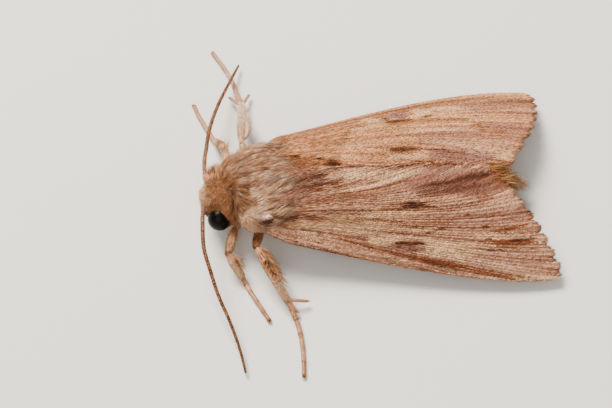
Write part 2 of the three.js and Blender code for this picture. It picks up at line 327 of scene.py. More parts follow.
# %% The wing's curves and sizes
COSTA = np.array([(4.2, 4.0, 3.2), (9.5, 5.6, 1.9), (19.5, 9.55, 0.95), (25.55, 8.2, 0.8)])
DORSUM = np.array([(5.2, 1.6, 4.4), (7.2, -0.6, 5.9), (14.5, 0.3, 4.9), (21.6, 0.12, 3.25)])
WING_SET = {
    LEFT: {"tip": 0.65, "ridge": -0.1, "fold": 1.0, "bulge": 0.62, "squareness": 1.0, "hollow": 0.4},
    RIGHT: {"tip": 0.55, "ridge": -0.15, "fold": 0.945, "bulge": 2.2, "squareness": 0.55, "hollow": 0.0},
}
BOW_SKEW = 1.6
TIP_ROUNDING, ARCH_POWER = 0.025, 1.6
SCALLOPS, SCALLOP_DEPTH = 9, 0.12
OVERLAP = (0.07, 0.36)  # how far the left wing passes over the right, near the root and at the ridge's end
FRINGE = 0.028  # the share of the wing's length that is fringe, beyond the membrane
for name, ends in {"costa": COSTA, "dorsum": DORSUM}.items():
    print(name, round(float(np.linalg.norm(ends[3] - ends[0])), 1), "mm from end to end")

# %% [markdown]
# Veins run out from the root like the ribs of a fan, a little raised, with a fold between each two. The same
# fan gives the lie of the scales and the direction of the fine streaks. Near its hind corner the left wing is
# creased more deeply, where it bends over the ridge.

# %% Veins and folds
FAN = {LEFT: 0.9, RIGHT: 0.45}  # how strongly the grain fans out towards the margin
FAN_CENTRE = 0.33  # the line of the grain that runs straight
VEIN_HEIGHT = {LEFT: 0.085, RIGHT: 0.04}
HIND_FOLDS = (
    # by the left wing's hind corner: height, v at the pivot, slope, the pivot's u, width, u from first to full
    (-0.20, 0.775, 0.45, 0.8, 0.035, (0.62, 0.8)),
    (0.16, 0.835, 0.5, 0.8, 0.035, (0.55, 0.8)),
    (-0.16, 0.885, 0.6, 0.88, 0.03, (0.7, 0.85)),
)


def streak(u, v, side):
    """Where the line of the grain through a point meets the outer margin. The grain fans out from the root."""
    return FAN_CENTRE + (v - FAN_CENTRE) * np.exp(FAN[side] * (1 - u**2))


def off_vein(u, v, side):
    """How far a point lies from its nearest vein, from -0.5 to 0.5 of the gap between two veins."""
    return (streak(u, v, side) * SCALLOPS + 0.5) % 1 - 0.5


def pleats(u, v, side):
    """Height of veins and folds over the smooth roof."""
    q = off_vein(u, v, side)
    folds = np.exp(-((q / 0.11) ** 2)) + 0.55 * np.exp(-(((np.abs(q) - 0.34) / 0.08) ** 2))
    rise = VEIN_HEIGHT[side] * folds * smoothstep(0.1, 0.65, u)
    rise += 0.05 * (soft_noise(streak(u, v, side) * 7 + 20, u * 2.5, 3 + side) - 0.5)
    for height, place, slope, pivot, width, begins in HIND_FOLDS if side == LEFT else ():
        rise += height * np.exp(-(((v - place - slope * (u - pivot)) / width) ** 2)) * smoothstep(*begins, u)
    return rise


print(len(HIND_FOLDS), "folds by the hind corner")

# %% [markdown]
# The surface is ruled between the two curves, arched like a roof, and cut at its margin in shallow scallops.
# Near the root it is drawn in to the thorax, and along the ridge the left wing passes over the right one.

# %% The wing's surface
HINGE_SHIFT = (0.75, 0.25)  # how far the wing's root is drawn in and down
MEMBRANE_SINK = 0.12  # the membrane lies this far below the solid's face, to leave room for scales


def bezier(ends, t):
    t = np.asarray(t)[..., None]
    return (
        (1 - t) ** 3 * ends[0]
        + 3 * (1 - t) ** 2 * t * ends[1]
        + 3 * (1 - t) * t**2 * ends[2]
        + t**3 * ends[3]
    )


def wing_point(u, v, side):
    at = WING_SET[side]
    outer = bezier(COSTA, u * (1 - TIP_ROUNDING * (1 - v) ** 9))
    inner = bezier(DORSUM, u)
    point = outer + (inner - outer) * v[..., None]
    drop = np.clip(1 - v, 0, 1)
    point[..., 2] += (inner[..., 2] - outer[..., 2]) * (drop - drop**ARCH_POWER)
    point[..., 0] += (at["tip"] * drop + at["ridge"] * (1 - drop)) * u
    bow = np.maximum(np.sin(np.pi * np.clip(v, 0, 1) ** BOW_SKEW), 0) ** at["squareness"]
    point[..., 0] += at["bulge"] * u**6 * bow
    lobes = 2 * np.abs(np.cos(np.pi * SCALLOPS * v)) ** 0.6 - 1
    point[..., 0] += SCALLOP_DEPTH * u**20 * lobes
    point[..., 1] -= at["hollow"] * np.sin(np.pi * u) * drop
    hinge = smoothstep(0.14, 0.0, u) * drop
    point[..., 1] -= HINGE_SHIFT[0] * hinge
    point[..., 2] -= HINGE_SHIFT[1] * hinge
    point[..., 1] *= side * (1 - (1 - at["fold"]) * u * drop)
    point[..., 1] *= 1 - smoothstep(0.72, 1.0, v) * smoothstep(0.02, 0.16, u)
    overlap = OVERLAP[0] + (OVERLAP[1] - OVERLAP[0]) * smoothstep(0.45, 1.0, u)
    if side == LEFT:
        point[..., 1] += overlap * smoothstep(0.8, 1.0, v)
    else:
        point[..., 2] -= (0.03 + 0.6 * overlap) * smoothstep(0.8, 1.0, v)
    edge = smoothstep(0.0, 0.06, v) * smoothstep(1.0, 0.94, v)
    point[..., 2] += pleats(u, v, side) * edge - MEMBRANE_SINK
    return point


def wing_frame(u, v, side):
    """Point, normal and direction to the margin."""
    step = 1e-3
    point = wing_point(u, v, side)
    along = unit(wing_point(u + step, v, side) - point)
    over = unit(wing_point(u, v + step, side) - point)
    normal = unit(np.cross(along, over)) * -side
    return point, normal, along


def wing_map(u, v, under=False):
    """The place on the bake map. The wing's top face fills one half of it, its under face the other."""
    return np.stack([0.02 + 0.96 * u, 0.02 + 0.46 * v + (0.5 if under else 0.0)], 1)

# %% [markdown]
# The forewing of an owlet has a plan of marks that its whole family shares: a kidney-shaped spot, a dark dash
# below it, streaks near the folds, and rust along the leading edge. They could be painted by hand on a picture
# of the wing. A list of strokes stays sharp at any size, and anyone can read it and change a mark.
# A mark is pigment, the u and v of its two ends, its width in millimetres and its strength. No two wings are
# marked quite alike, so each has its own list.

# %% Marks of the left wing
WING_LENGTH, WING_WIDTH = 21.5, 7.5  # mm for u and v of 1
LEFT_MARKS = (
    # washes
    ("grey", (0.06, 0.63), (0.26, 0.70), 1.2, 0.50),
    ("grey", (0.46, 0.66), (0.70, 0.72), 0.9, 0.35),
    # this grey wash is partly painted shade over the creased hind corner
    ("grey", (0.64, 0.78), (0.96, 0.87), 1.1, 0.70),
    ("grey", (0.66, 0.50), (0.98, 0.60), 1.6, 0.45),
    ("grey", (0.70, 0.14), (1.0, 0.20), 1.4, 0.35),
    ("rust", (0.26, 0.64), (0.52, 0.70), 0.70, 0.40),
    ("rust", (0.20, 0.37), (0.50, 0.45), 0.60, 0.30),
    ("grey", (0.12, 0.800), (0.34, 0.840), 1.6, 0.60),
    ("dark", (0.14, 0.800), (0.32, 0.830), 1.1, 0.30),
    ("pale", (0.28, 0.330), (0.48, 0.380), 1.4, 0.55),
    ("grey", (0.30, 0.045), (0.66, 0.035), 0.30, 0.55),
    ("rust", (0.10, 0.12), (0.42, 0.10), 0.60, 0.25),
    ("pale", (0.12, 0.29), (0.42, 0.36), 0.70, 0.50),
    # the leading edge
    ("rust", (0.24, 0.008), (0.82, 0.004), 0.12, 0.95),
    ("dark", (0.00, 0.010), (0.34, 0.004), 0.16, 0.80),
    ("dark", (0.34, 0.022), (0.62, 0.020), 0.06, 0.60),
    ("pale", (0.74, 0.020), (1.0, 0.030), 0.26, 0.70),
    ("rust", (0.29, 0.182), (0.36, 0.155), 0.20, 0.85),
    ("dark", (0.30, 0.180), (0.40, 0.140), 0.06, 0.60),
    ("dark", (0.205, 0.095), (0.225, 0.100), 0.20, 0.60),
    ("dark", (0.272, 0.070), (0.293, 0.085), 0.20, 0.65),
    ("dark", (0.155, 0.130), (0.178, 0.150), 0.30, 0.35),
    ("rust", (0.222, 0.170), (0.240, 0.250), 0.22, 0.75),
    ("rust", (0.36, 0.155), (0.45, 0.120), 0.24, 0.90),
    ("rust", (0.43, 0.125), (0.57, 0.100), 0.26, 0.90),
    ("rust", (0.53, 0.105), (0.67, 0.082), 0.36, 1.0),
    ("rust", (0.64, 0.080), (0.82, 0.020), 0.24, 0.90),
    ("dark", (0.44, 0.135), (0.56, 0.118), 0.07, 0.70),
    ("dark", (0.45, 0.112), (0.72, 0.055), 0.06, 0.65),
    ("dark", (0.50, 0.088), (0.80, 0.020), 0.06, 0.65),
    ("dark", (0.40, 0.150), (0.64, 0.104), 0.06, 0.60),
    ("rust", (0.60, 0.100), (0.86, 0.036), 0.32, 0.40),
    ("dark", (0.60, 0.070), (0.76, 0.030), 0.08, 0.70),
    ("dark", (0.42, 0.050), (0.47, 0.085), 0.14, 0.55),
    # the kidney-shaped spot and the cream about it
    ("pale", (0.40, 0.200), (0.49, 0.250), 0.55, 1.0),
    ("grey", (0.455, 0.175), (0.565, 0.195), 0.50, 0.85),
    ("dark", (0.475, 0.185), (0.500, 0.190), 0.16, 0.60),
    ("dark", (0.520, 0.175), (0.550, 0.195), 0.14, 0.60),
    ("dark", (0.485, 0.222), (0.580, 0.252), 0.30, 1.0),
    ("pale", (0.575, 0.170), (0.70, 0.200), 0.70, 0.90),
    ("pale", (0.58, 0.258), (0.80, 0.282), 0.28, 1.0),
    ("rust", (0.41, 0.282), (0.47, 0.295), 0.20, 0.60),
    ("rust", (0.47, 0.315), (0.60, 0.335), 0.26, 0.45),
    ("rust", (0.69, 0.268), (0.78, 0.280), 0.20, 0.50),
    ("dark", (0.778, 0.235), (0.790, 0.250), 0.16, 0.85),
    ("dark", (0.806, 0.248), (0.816, 0.256), 0.13, 0.80),
    ("dark", (0.785, 0.333), (0.802, 0.338), 0.15, 0.90),
    # streaks before the margin
    ("rust", (0.80, 0.310), (0.94, 0.312), 0.34, 1.0),
    ("dark", (0.86, 0.320), (0.95, 0.338), 0.18, 0.80),
    ("rust", (0.82, 0.395), (0.95, 0.455), 0.24, 0.90),
    ("dark", (0.86, 0.415), (0.95, 0.462), 0.08, 0.70),
    ("dark", (0.60, 0.350), (0.640, 0.375), 0.12, 0.75),
    ("dark", (0.645, 0.390), (0.685, 0.410), 0.15, 0.85),
    ("dark", (0.797, 0.433), (0.815, 0.445), 0.16, 0.90),
    ("dark", (0.772, 0.537), (0.788, 0.545), 0.16, 0.85),
    ("dark", (0.55, 0.395), (0.60, 0.398), 0.10, 0.55),
    ("rust", (0.62, 0.44), (0.74, 0.50), 0.40, 0.45),
    ("rust", (0.83, 0.53), (0.90, 0.56), 0.24, 0.55),
    ("rust", (0.85, 0.690), (0.890, 0.715), 0.40, 0.65),
    # the dark dash and the cream line that leads into it
    ("dark", (0.525, 0.545), (0.590, 0.568), 0.13, 0.90),
    ("dark", (0.575, 0.580), (0.660, 0.612), 0.30, 1.0),
    ("dark", (0.600, 0.622), (0.645, 0.628), 0.20, 1.0),
    ("dark", (0.630, 0.602), (0.690, 0.604), 0.16, 0.95),
    ("rust", (0.50, 0.540), (0.57, 0.570), 0.30, 0.50),
    ("pale", (0.28, 0.405), (0.42, 0.455), 0.40, 0.70),
    ("pale", (0.40, 0.455), (0.545, 0.540), 0.16, 1.0),
    ("pale", (0.46, 0.50), (0.62, 0.53), 0.40, 0.60),
    # the wing's base
    ("dark", (0.05, 0.360), (0.12, 0.385), 0.24, 0.85),
    ("dark", (0.12, 0.390), (0.170, 0.465), 0.28, 0.95),
    ("dark", (0.17, 0.445), (0.26, 0.415), 0.12, 0.80),
    ("dark", (0.09, 0.530), (0.16, 0.570), 0.14, 0.75),
    ("dark", (0.15, 0.568), (0.228, 0.538), 0.18, 0.80),
    ("rust", (0.16, 0.500), (0.22, 0.510), 0.40, 0.50),
    ("dark", (0.10, 0.785), (0.22, 0.780), 0.10, 0.55),
    ("dark", (0.22, 0.790), (0.40, 0.792), 0.20, 0.80),
    # this streak is partly the wing's own dark and partly painted shadow of a gap at the wing's base
    ("dark", (0.17, 0.835), (0.36, 0.865), 0.26, 0.75),
    ("dark", (0.13, 0.655), (0.155, 0.660), 0.30, 0.35),
    ("dark", (0.193, 0.670), (0.207, 0.680), 0.25, 0.45),
    ("rust", (0.26, 0.750), (0.325, 0.762), 0.30, 0.85),
    ("dark", (0.470, 0.972), (0.515, 0.985), 0.40, 0.90),
    ("rust", (0.455, 0.960), (0.530, 0.980), 0.70, 0.80),
    # the fold above the ridge and the folds near the hind corner. Their dark and grey are partly
    # painted shade in the creases, and their pale lines partly painted highlight on the ridges between
    ("rust", (0.38, 0.700), (0.58, 0.765), 0.10, 0.85),
    ("rust", (0.56, 0.765), (0.76, 0.838), 0.10, 0.85),
    ("pale", (0.42, 0.830), (0.74, 0.860), 0.50, 0.70),
    ("rust", (0.40, 0.940), (0.66, 0.915), 0.14, 0.85),
    ("rust", (0.66, 0.915), (0.97, 0.925), 0.14, 0.95),
    ("dark", (0.50, 0.960), (1.0, 0.950), 0.08, 0.60),
    # where this wing's inner edge lies over the right wing: a rust edge, and a dark line of painted shadow
    ("rust", (0.30, 0.985), (1.0, 0.985), 0.18, 0.90),
    ("dark", (0.45, 0.990), (1.0, 0.985), 0.09, 0.80),
    ("dark", (0.66, 0.700), (0.80, 0.765), 0.36, 0.45),
    ("dark", (0.76, 0.750), (0.89, 0.792), 0.40, 0.75),
    ("dark", (0.70, 0.730), (0.93, 0.800), 0.14, 0.80),
    ("dark", (0.87, 0.790), (0.945, 0.812), 0.24, 0.55),
    ("dark", (0.69, 0.768), (0.84, 0.818), 0.14, 0.90),
    ("dark", (0.82, 0.818), (0.955, 0.860), 0.24, 0.90),
    ("pale", (0.67, 0.745), (0.82, 0.795), 0.10, 0.85),
    ("pale", (0.82, 0.795), (0.95, 0.845), 0.08, 0.70),
    ("rust", (0.95, 0.800), (1.0, 0.940), 1.0, 0.75),
    ("grey", (0.66, 0.770), (0.95, 0.840), 1.5, 0.90),
    ("dark", (0.78, 0.765), (0.98, 0.815), 0.9, 0.55),
    ("dark", (0.66, 0.745), (0.80, 0.775), 0.6, 0.30),
)
print(len(LEFT_MARKS), "marks on the left wing")

# %% [markdown]
# The right wing's marks are fewer and broader. Its ridge side passes under the left wing, and its kidney spot
# is open towards the leading edge.

# %% Marks of the right wing
RIGHT_MARKS = (
    # washes
    ("grey", (0.08, 0.40), (0.15, 0.52), 0.8, 0.45),
    ("grey", (0.70, 0.70), (1.0, 0.72), 2.2, 0.45),
    ("grey", (0.78, 0.22), (1.0, 0.30), 2.0, 0.35),
    ("rust", (0.26, 0.09), (0.78, 0.10), 0.50, 0.65),
    ("rust", (0.25, 0.50), (0.62, 0.58), 1.8, 0.32),
    ("pale", (0.30, 0.66), (0.60, 0.71), 0.6, 0.30),
    ("pale", (0.60, 0.83), (0.73, 0.84), 0.35, 0.55),
    # the kidney-shaped spot, open towards the leading edge
    ("dark", (0.505, 0.235), (0.530, 0.340), 0.26, 1.0),
    ("dark", (0.530, 0.350), (0.605, 0.375), 0.40, 1.0),
    ("rust", (0.540, 0.400), (0.630, 0.420), 0.55, 0.85),
    ("grey", (0.525, 0.190), (0.585, 0.310), 0.80, 0.95),
    ("dark", (0.540, 0.220), (0.570, 0.300), 0.20, 0.40),
    ("rust", (0.530, 0.120), (0.575, 0.130), 0.40, 0.70),
    ("pale", (0.435, 0.170), (0.490, 0.300), 0.55, 0.85),
    ("pale", (0.60, 0.190), (0.66, 0.280), 0.80, 0.75),
    ("pale", (0.66, 0.200), (0.78, 0.280), 0.60, 0.65),
    ("dark", (0.415, 0.290), (0.450, 0.365), 0.22, 0.65),
    ("dark", (0.652, 0.350), (0.676, 0.355), 0.30, 0.95),
    ("rust", (0.62, 0.400), (0.80, 0.455), 0.55, 0.70),
    ("rust", (0.50, 0.450), (0.62, 0.500), 0.50, 0.35),
    ("dark", (0.813, 0.385), (0.820, 0.420), 0.15, 0.90),
    ("rust", (0.82, 0.500), (0.86, 0.580), 0.50, 0.55),
    ("rust", (0.85, 0.610), (0.92, 0.640), 0.40, 0.75),
    ("grey", (0.84, 0.520), (0.96, 0.600), 1.0, 0.55),
    ("dark", (0.190, 0.270), (0.205, 0.320), 0.30, 0.45),
    ("dark", (0.150, 0.290), (0.160, 0.340), 0.25, 0.35),
    # the dark dash
    ("dark", (0.50, 0.745), (0.60, 0.775), 0.08, 0.60),
    ("dark", (0.600, 0.778), (0.700, 0.790), 0.34, 1.0),
    ("rust", (0.55, 0.760), (0.62, 0.775), 0.24, 0.55),
    ("dark", (0.69, 0.790), (0.790, 0.797), 0.08, 0.85),
    ("grey", (0.74, 0.820), (0.92, 0.850), 0.70, 0.90),
    ("dark", (0.77, 0.815), (0.85, 0.832), 0.26, 0.45),
    ("dark", (0.735, 0.885), (0.752, 0.885), 0.20, 0.85),
    # along the ridge
    ("dark", (0.180, 0.765), (0.222, 0.775), 0.30, 0.90),
    ("dark", (0.180, 0.835), (0.212, 0.835), 0.30, 0.90),
    ("rust", (0.170, 0.800), (0.330, 0.830), 0.60, 0.55),
    ("dark", (0.300, 0.812), (0.345, 0.822), 0.11, 0.95),
    ("rust", (0.320, 0.860), (0.390, 0.880), 0.35, 0.60),
    ("rust", (0.190, 0.840), (0.310, 0.870), 1.2, 0.50),
    ("dark", (0.190, 0.840), (0.310, 0.870), 0.9, 0.28),
    ("dark", (0.368, 0.862), (0.410, 0.885), 0.60, 1.0),
    ("rust", (0.350, 0.850), (0.430, 0.885), 0.90, 0.80),
    ("dark", (0.495, 0.930), (0.512, 0.950), 0.34, 0.90),
    ("rust", (0.70, 0.930), (0.97, 0.925), 0.30, 0.60),
)
MARKS = {LEFT: LEFT_MARKS, RIGHT: RIGHT_MARKS}
print(len(RIGHT_MARKS), "marks on the right wing")

# %% [markdown]
# A mark is full in its middle and fades at its sides, and every scale asks how deep in each mark its root lies.
# Between the marks, a fine lengthwise streaking and broken dark lines beside the veins cover the whole wing.
# The dark lines are partly painted shade on the flanks of the veins and folds, and the pale along the veins'
# crests is partly painted highlight.

# %% How marks and streaks are drawn


def spindle_mark(u, v, start, end, width):
    """1 within a streak from start to end, 0 outside, with soft sides."""
    run, rise = (end[0] - start[0]) * WING_LENGTH, (end[1] - start[1]) * WING_WIDTH
    x, y = (u - start[0]) * WING_LENGTH, (v - start[1]) * WING_WIDTH
    t = np.clip((x * run + y * rise) / (run**2 + rise**2), 0, 1)
    away = np.hypot(x - t * run, y - t * rise)
    half = width / 2 * (0.25 + 0.75 * np.sin(np.pi * np.clip(0.15 + 0.75 * t, 0, 1)))
    return 1 - smoothstep(half * 0.45, half * 1.5, away)


def grain(u, v, side):
    """The fine lengthwise streaking of the whole wing, from 0 to 1."""
    w = streak(u, v, side) + 1.0
    fine = soft_noise(w * 58, u * 5, 11 + side)
    middle = soft_noise(w * 22, u * 3, 15 + side)
    broad = soft_noise(w * 6, u * 2, 19 + side)
    return np.clip(0.5 + 0.9 * (fine - 0.5) + 0.6 * (middle - 0.5) + 0.4 * (broad - 0.5), 0, 1)


LINE_STRENGTH = {LEFT: 0.85, RIGHT: 0.4}


def wing_masks(u, v, side, rng=None):
    ragged = 0.7 + 0.6 * soft_noise(streak(u, v, side) * 40 + 40, u * 16, 27 + side)
    masks = {mask: np.zeros_like(u) for mask in MASKS}
    for mask, start, end, width, strength in MARKS[side]:
        covered = spindle_mark(u, v, start, end, width * ragged) * strength
        masks[mask] = np.maximum(masks[mask], covered)
        if mask == "dark":
            halo = spindle_mark(u, v, start, end, 1.8 * width * ragged)
            masks["rust"] = np.maximum(masks["rust"], 0.5 * strength * halo)
    # Fine dark lines run beside each vein and along the folds between, broken into dashes: partly
    # the veins' own dark lining, partly painted shade on the flanks of the relief.
    q, outer = off_vein(u, v, side), smoothstep(0.15, 0.7, u)
    line = streak(u, v, side) * SCALLOPS
    broken = smoothstep(0.4, 0.62, soft_noise(line * 3 + 40, u * 10, 31 + side))
    lines = np.exp(-(((q - 0.13) / 0.045) ** 2)) + 0.8 * np.exp(-(((np.abs(q) - 0.28) / 0.035) ** 2))
    lines += 0.7 * np.exp(-(((np.abs(q) - 0.45) / 0.035) ** 2))
    lines = LINE_STRENGTH[side] * outer * np.clip(lines, 0, 1) * broken
    masks["dark"] = np.maximum(0.9 * masks["dark"], lines)
    # The veins' crests are painted pale: partly their own colour, partly painted highlight on the raised veins.
    crest = np.exp(-((q / 0.08) ** 2)) + 0.5 * np.exp(-(((np.abs(q) - 0.37) / 0.04) ** 2))
    masks["pale"] = np.maximum(masks["pale"], 0.55 * LINE_STRENGTH[side] * outer * crest * (1 - masks["dark"]))
    masks["chance"] = grain(u, v, side)
    if rng is not None:
        masks["chance"] = np.clip(masks["chance"] + rng.normal(0, 0.07, len(u)), 0, 1)
        masks["dark"] = np.clip(masks["dark"] + (rng.random(len(u)) < 0.025) * 0.4, 0, 1)
    return masks

# %% [markdown]
# Under the scales lies the membrane. A plane could be bent to it by hand. Here a grid follows the wing's own
# formula, because its veins and folds have to pass exactly under the scales, and it gets a second, lower face,
# 0.09 mm below it. Its rows are closer than the marks are wide, so each corner can carry the marking as numbers.

# %% The membrane of a wing
MEMBRANE = 0.09


def shell(name, top, under, values, material, slot, nu, nv, *solids):
    """A closed sheet from two grids of nu by nv points, which stands for the given solids."""
    grid = np.arange(nu * nv).reshape(nu, nv)
    a, b, c, d = grid[:-1, :-1], grid[1:, :-1], grid[1:, 1:], grid[:-1, 1:]
    quads = np.stack([a, b, c, d], -1).reshape(-1, 4)
    rim = np.concatenate([grid[:, 0], grid[-1, 1:], grid[-2::-1, -1], grid[0, -2:0:-1]])
    following = np.roll(rim, -1)
    count = nu * nv
    edge = np.stack([following, rim, rim + count, following + count], -1)
    faces = np.concatenate([quads, quads[:, ::-1] + count, edge])
    points = np.concatenate([top, under])
    across = np.cross(points[quads[:, 1]] - points[quads[:, 0]], points[quads[:, 3]] - points[quads[:, 0]])
    if np.sum(across * (top[quads[:, 0]] - under[quads[:, 0]])) < 0:
        faces = faces[:, ::-1]
    mesh = bpy.data.meshes.new(name)
    mesh.from_pydata(metres(points).tolist(), [], faces.tolist())
    mesh.shade_smooth()
    columns = {mask: np.tile(np.broadcast_to(values.get(mask, 0.0), count), 2) for mask in (*MASKS, "chance")}
    give_numbers(mesh, {**columns, "along": np.full(2 * count, 0.5)})
    s, t = (np.linspace(0.02, 0.98, n) for n in (nu, nv))
    flat = np.stack(np.meshgrid(s, t * 0.48, indexing="ij"), -1).reshape(-1, 2)
    flat = np.concatenate([flat, flat + (0, 0.5)])
    uv = mesh.uv_layers.new(name="OFBake")
    loops = np.empty(len(mesh.loops), np.int32)
    mesh.loops.foreach_get("vertex_index", loops)
    uv.data.foreach_set("uv", flat[loops].astype(np.float32).ravel())
    dress(placed(name, mesh), material, slot, *solids)
    print(name, len(faces), "faces")

# %% [markdown]
# The two wings lie at different angles to the light, so each has its own paint of the same straw and rust:
# the right wing's is painted lighter, as lit, and the left wing's darker, as shaded.

# %% The forewings' membranes
WING_PAINT = {
    LEFT: scale_paint(
        "forewing_scales_shaded_straw", ("#764630", "#D0906E", "#FFCAA0"), "#3E1804", "#96502A", "#FFCC98", "#A06E5C"
    ),
    RIGHT: scale_paint(
        "forewing_scales_lit_straw", ("#8C5432", "#DA9062", "#FFC48C"), "#462006", "#AC6432", "#FFCE9C",
        "#A87464",
    ),
}


def grid_over(u_range, v_range, nu, nv):
    return (g.ravel() for g in np.meshgrid(np.linspace(*u_range, nu), np.linspace(*v_range, nv), indexing="ij"))


def forewing(name, side):
    nu, nv = 100, 130
    u, v = grid_over((0.0, 1 - FRINGE), (0.0, 1.0), nu, nv)
    top, normal, _ = wing_frame(u, v, side)
    under, marking = top - normal * MEMBRANE, wing_masks(u, v, side)
    name, solid = f"forewing_membrane_{name}", f"forewing_{name}"
    shell(name, top, under, marking, WING_PAINT[side], "forewing_scales", nu, nv, solid)


for name, side in SIDES.items():
    forewing(name, side)

# %% [markdown]
# A wing scale is a tiny flat paddle, a fifth of a millimetre long in life. Here they are drawn about twice
# as coarse, so that the shingling shows. Each is a closed kite of six faces, raised a little at its free end.

# %% Wing scales
KITE = np.array([(0, 1, 4), (1, 3, 4), (3, 2, 4), (2, 0, 4), (0, 3, 1), (0, 2, 3)])
KITE_ALONG = np.array([0.0, 0.6, 0.6, 1.0, 0.55])
KITE_LOCAL = np.array([(0, -0.5), (-0.5, 0.1), (0.5, 0.1), (0, 0.5), (0, 0.05)])


def kites(root, normal, lie, length, width, lift):
    across = unit(np.cross(normal, lie))
    lie = np.cross(across, normal)
    n = len(root)
    length, width, lift = (np.broadcast_to(np.asarray(x, float), n)[:, None] for x in (length, width, lift))
    along = np.cos(lift) * lie + np.sin(lift) * normal
    up = np.cos(lift) * normal - np.sin(lift) * lie
    middle = root + along * length * 0.6
    return np.stack(
        [
            root,
            middle - across * width / 2,
            middle + across * width / 2,
            root + along * length,
            root + along * length * 0.55 + up * width * 0.10,
        ],
        1,
    )


def shingles(name, shapes, material, slot, root_uv, values):
    many(name, shapes, KITE, material, slot, root_uv, values, KITE_ALONG, KITE_LOCAL)


print("a scale has", len(KITE), "faces")

# %% [markdown]
# The upper face is densely scaled and carries the marking. The under face is plainer: it shows the same marks
# at a fifth of their strength, on buff. Scales lie along the grain of the wing, not straight to its margin.

# %% Scales of the forewings
UNDER_MARKING = 0.2
underside_paint = scale_paint(
    "underside_scales_buff", ("#8C6C52", "#BE9C7C", "#DFC6A8"), "#4A2817", "#A4602F", "#E8D2B4", "#8C766C"
)


def wing_scales(name, side, over, count, seed):
    rng = np.random.default_rng(seed)
    count = count
    u = rng.uniform(0.02, 1 - FRINGE - 0.004, count)
    v = rng.uniform(0.008, 0.992, count)
    point, normal, _ = wing_frame(u, v, side)
    step = 2e-3
    ahead_v = v + (v - FAN_CENTRE) * 2 * FAN[side] * u * step
    grain_lie = unit(wing_point(u + step, ahead_v, side) - point)
    values = wing_masks(u, v, side, rng)
    lie = unit(grain_lie + rng.normal(0, 0.06, (count, 3)))
    length, width = rng.uniform(0.32, 0.52, count), rng.uniform(0.07, 0.11, count)
    lift = rng.uniform(0.01, 0.06, count)
    face, material = "top", WING_PAINT[side]
    if not over:
        face, material = "under", underside_paint
        point, normal = point - normal * MEMBRANE, -normal
        values.update({mask: values[mask] * UNDER_MARKING for mask in MASKS})
    shapes = kites(point - normal * 0.01, normal, lie, length, width, lift)
    name = f"forewing_scales_{face}_{name}"
    shingles(name, shapes, material, "forewing_scales", wing_map(u, v, not over), values)


for seed, (name, side) in enumerate(SIDES.items()):
    wing_scales(name, side, True, 33000, 100 + seed)
    wing_scales(name, side, False, 7000, 110 + seed)

# %% [markdown]
# The wing ends in a fringe of long, narrow scales that grow from the margin and carry the wing's outline
# to its full size. They are blades like the body's hair, in rows, laid along the grain of the wing.

# %% Fringe
FRINGE_WIDTH = 0.075


def fringe(name, side, depth, u_edge, v_range, length, count, seed, material, slot):
    rng = np.random.default_rng(seed)
    count = count
    v = rng.uniform(*v_range, count)
    u = np.full(count, u_edge) - rng.uniform(0, 0.012, count)
    point, normal, along = wing_frame(u, v, side)
    point = point - normal * (depth + rng.uniform(0.0, MEMBRANE, count)[:, None])
    lie = unit(along + rng.normal(0, 0.07, (count, 3)))
    notch = 0.45 + 0.55 * np.abs(np.cos(np.pi * SCALLOPS * v)) ** 0.6
    values = wing_masks(u, v, side, rng)
    row = (rng.random(count) < 0.5) * 0.3
    values["grey"] = np.clip(values["grey"] * 0.5 + row, 0, 1)
    length = length * notch * rng.uniform(0.75, 1.0, count)
    shapes = blades(point, normal, lie, length, FRINGE_WIDTH, 0.0, 0.1, 0.3)
    coat(name, shapes, material, slot, wing_map(u, v), values)


for seed, (name, side) in enumerate(SIDES.items()):
    name, paint = f"forewing_fringe_{name}", WING_PAINT[side]
    fringe(name, side, 0.0, 1 - FRINGE, (0.03, 0.995), 0.68, 2400, 200 + seed, paint, "forewing_scales")

# %% [markdown]
# At the hind corner of each forewing the fringe grows into a tuft of soft ochre hair, which closes the notch
# between the two wings. The hairs are longer than the fringe and fan out.

# %% Hair at the hind corners
corner_paint = scale_paint(
    "corner_hair_ochre", ("#74481F", "#B87E42", "#E2B074"), "#4A2A12", "#9A5A26", "#FFDDB0", "#8E6A50",
    painted_shade_at_root=0.8,
)


def corner_hair(name, side, u_range, v_range, length, count, seed):
    rng = np.random.default_rng(seed)
    u, v = rng.uniform(*u_range, count), rng.uniform(*v_range, count)
    point, normal, along = wing_frame(u, v, side)
    point = point - normal * rng.uniform(0.0, 0.5, count)[:, None]
    lie = unit(along + rng.normal(0, 0.14, (count, 3)) + (0, 0.10, -0.05))
    values = {"chance": rng.normal(0.5, 0.25, count).clip(0, 1), "dark": 0.35 * (rng.random(count) < 0.15)}
    shapes = blades(point, normal, lie, rng.uniform(*length, count), 0.045, rng.normal(0.0, 0.1, count), 0.25)
    coat(f"corner_hair_{name}", shapes, corner_paint, "forewing_scales", wing_map(u, v), values)


corner_hair("left", LEFT, (0.945, 0.972), (0.82, 1.0), (1.0, 1.9), 1000, 240)
corner_hair("right", RIGHT, (0.925, 0.972), (0.93, 1.0), (0.6, 1.1), 350, 241)

# %% [markdown]
# The hindwings lie folded under the forewings and show only from behind and below. They are plain, thinner
# than the forewings and pleated like a fan, with a pale fringe.

# %% Hindwings
HINDWING_DEPTH = 0.78
HINDWING_U, HINDWING_V = (0.2, 0.955), (0.22, 0.94)
HINDWING_PLEATS = 9
hindwing_paint = scale_paint(
    "hindwing_scales_ash", ("#8F7660", "#C0A486", "#E2CBAE"), "#5A4030", "#A9713F", "#EBD8BC", "#8A7A70"
)


def hindwing_frame(u, v, side):
    point, normal, along = wing_frame(u, v, side)
    pleat = 0.10 * np.cos(2 * np.pi * HINDWING_PLEATS * v) * smoothstep(0.2, 0.6, u)
    return point - normal * (HINDWING_DEPTH + pleat)[..., None], normal, along


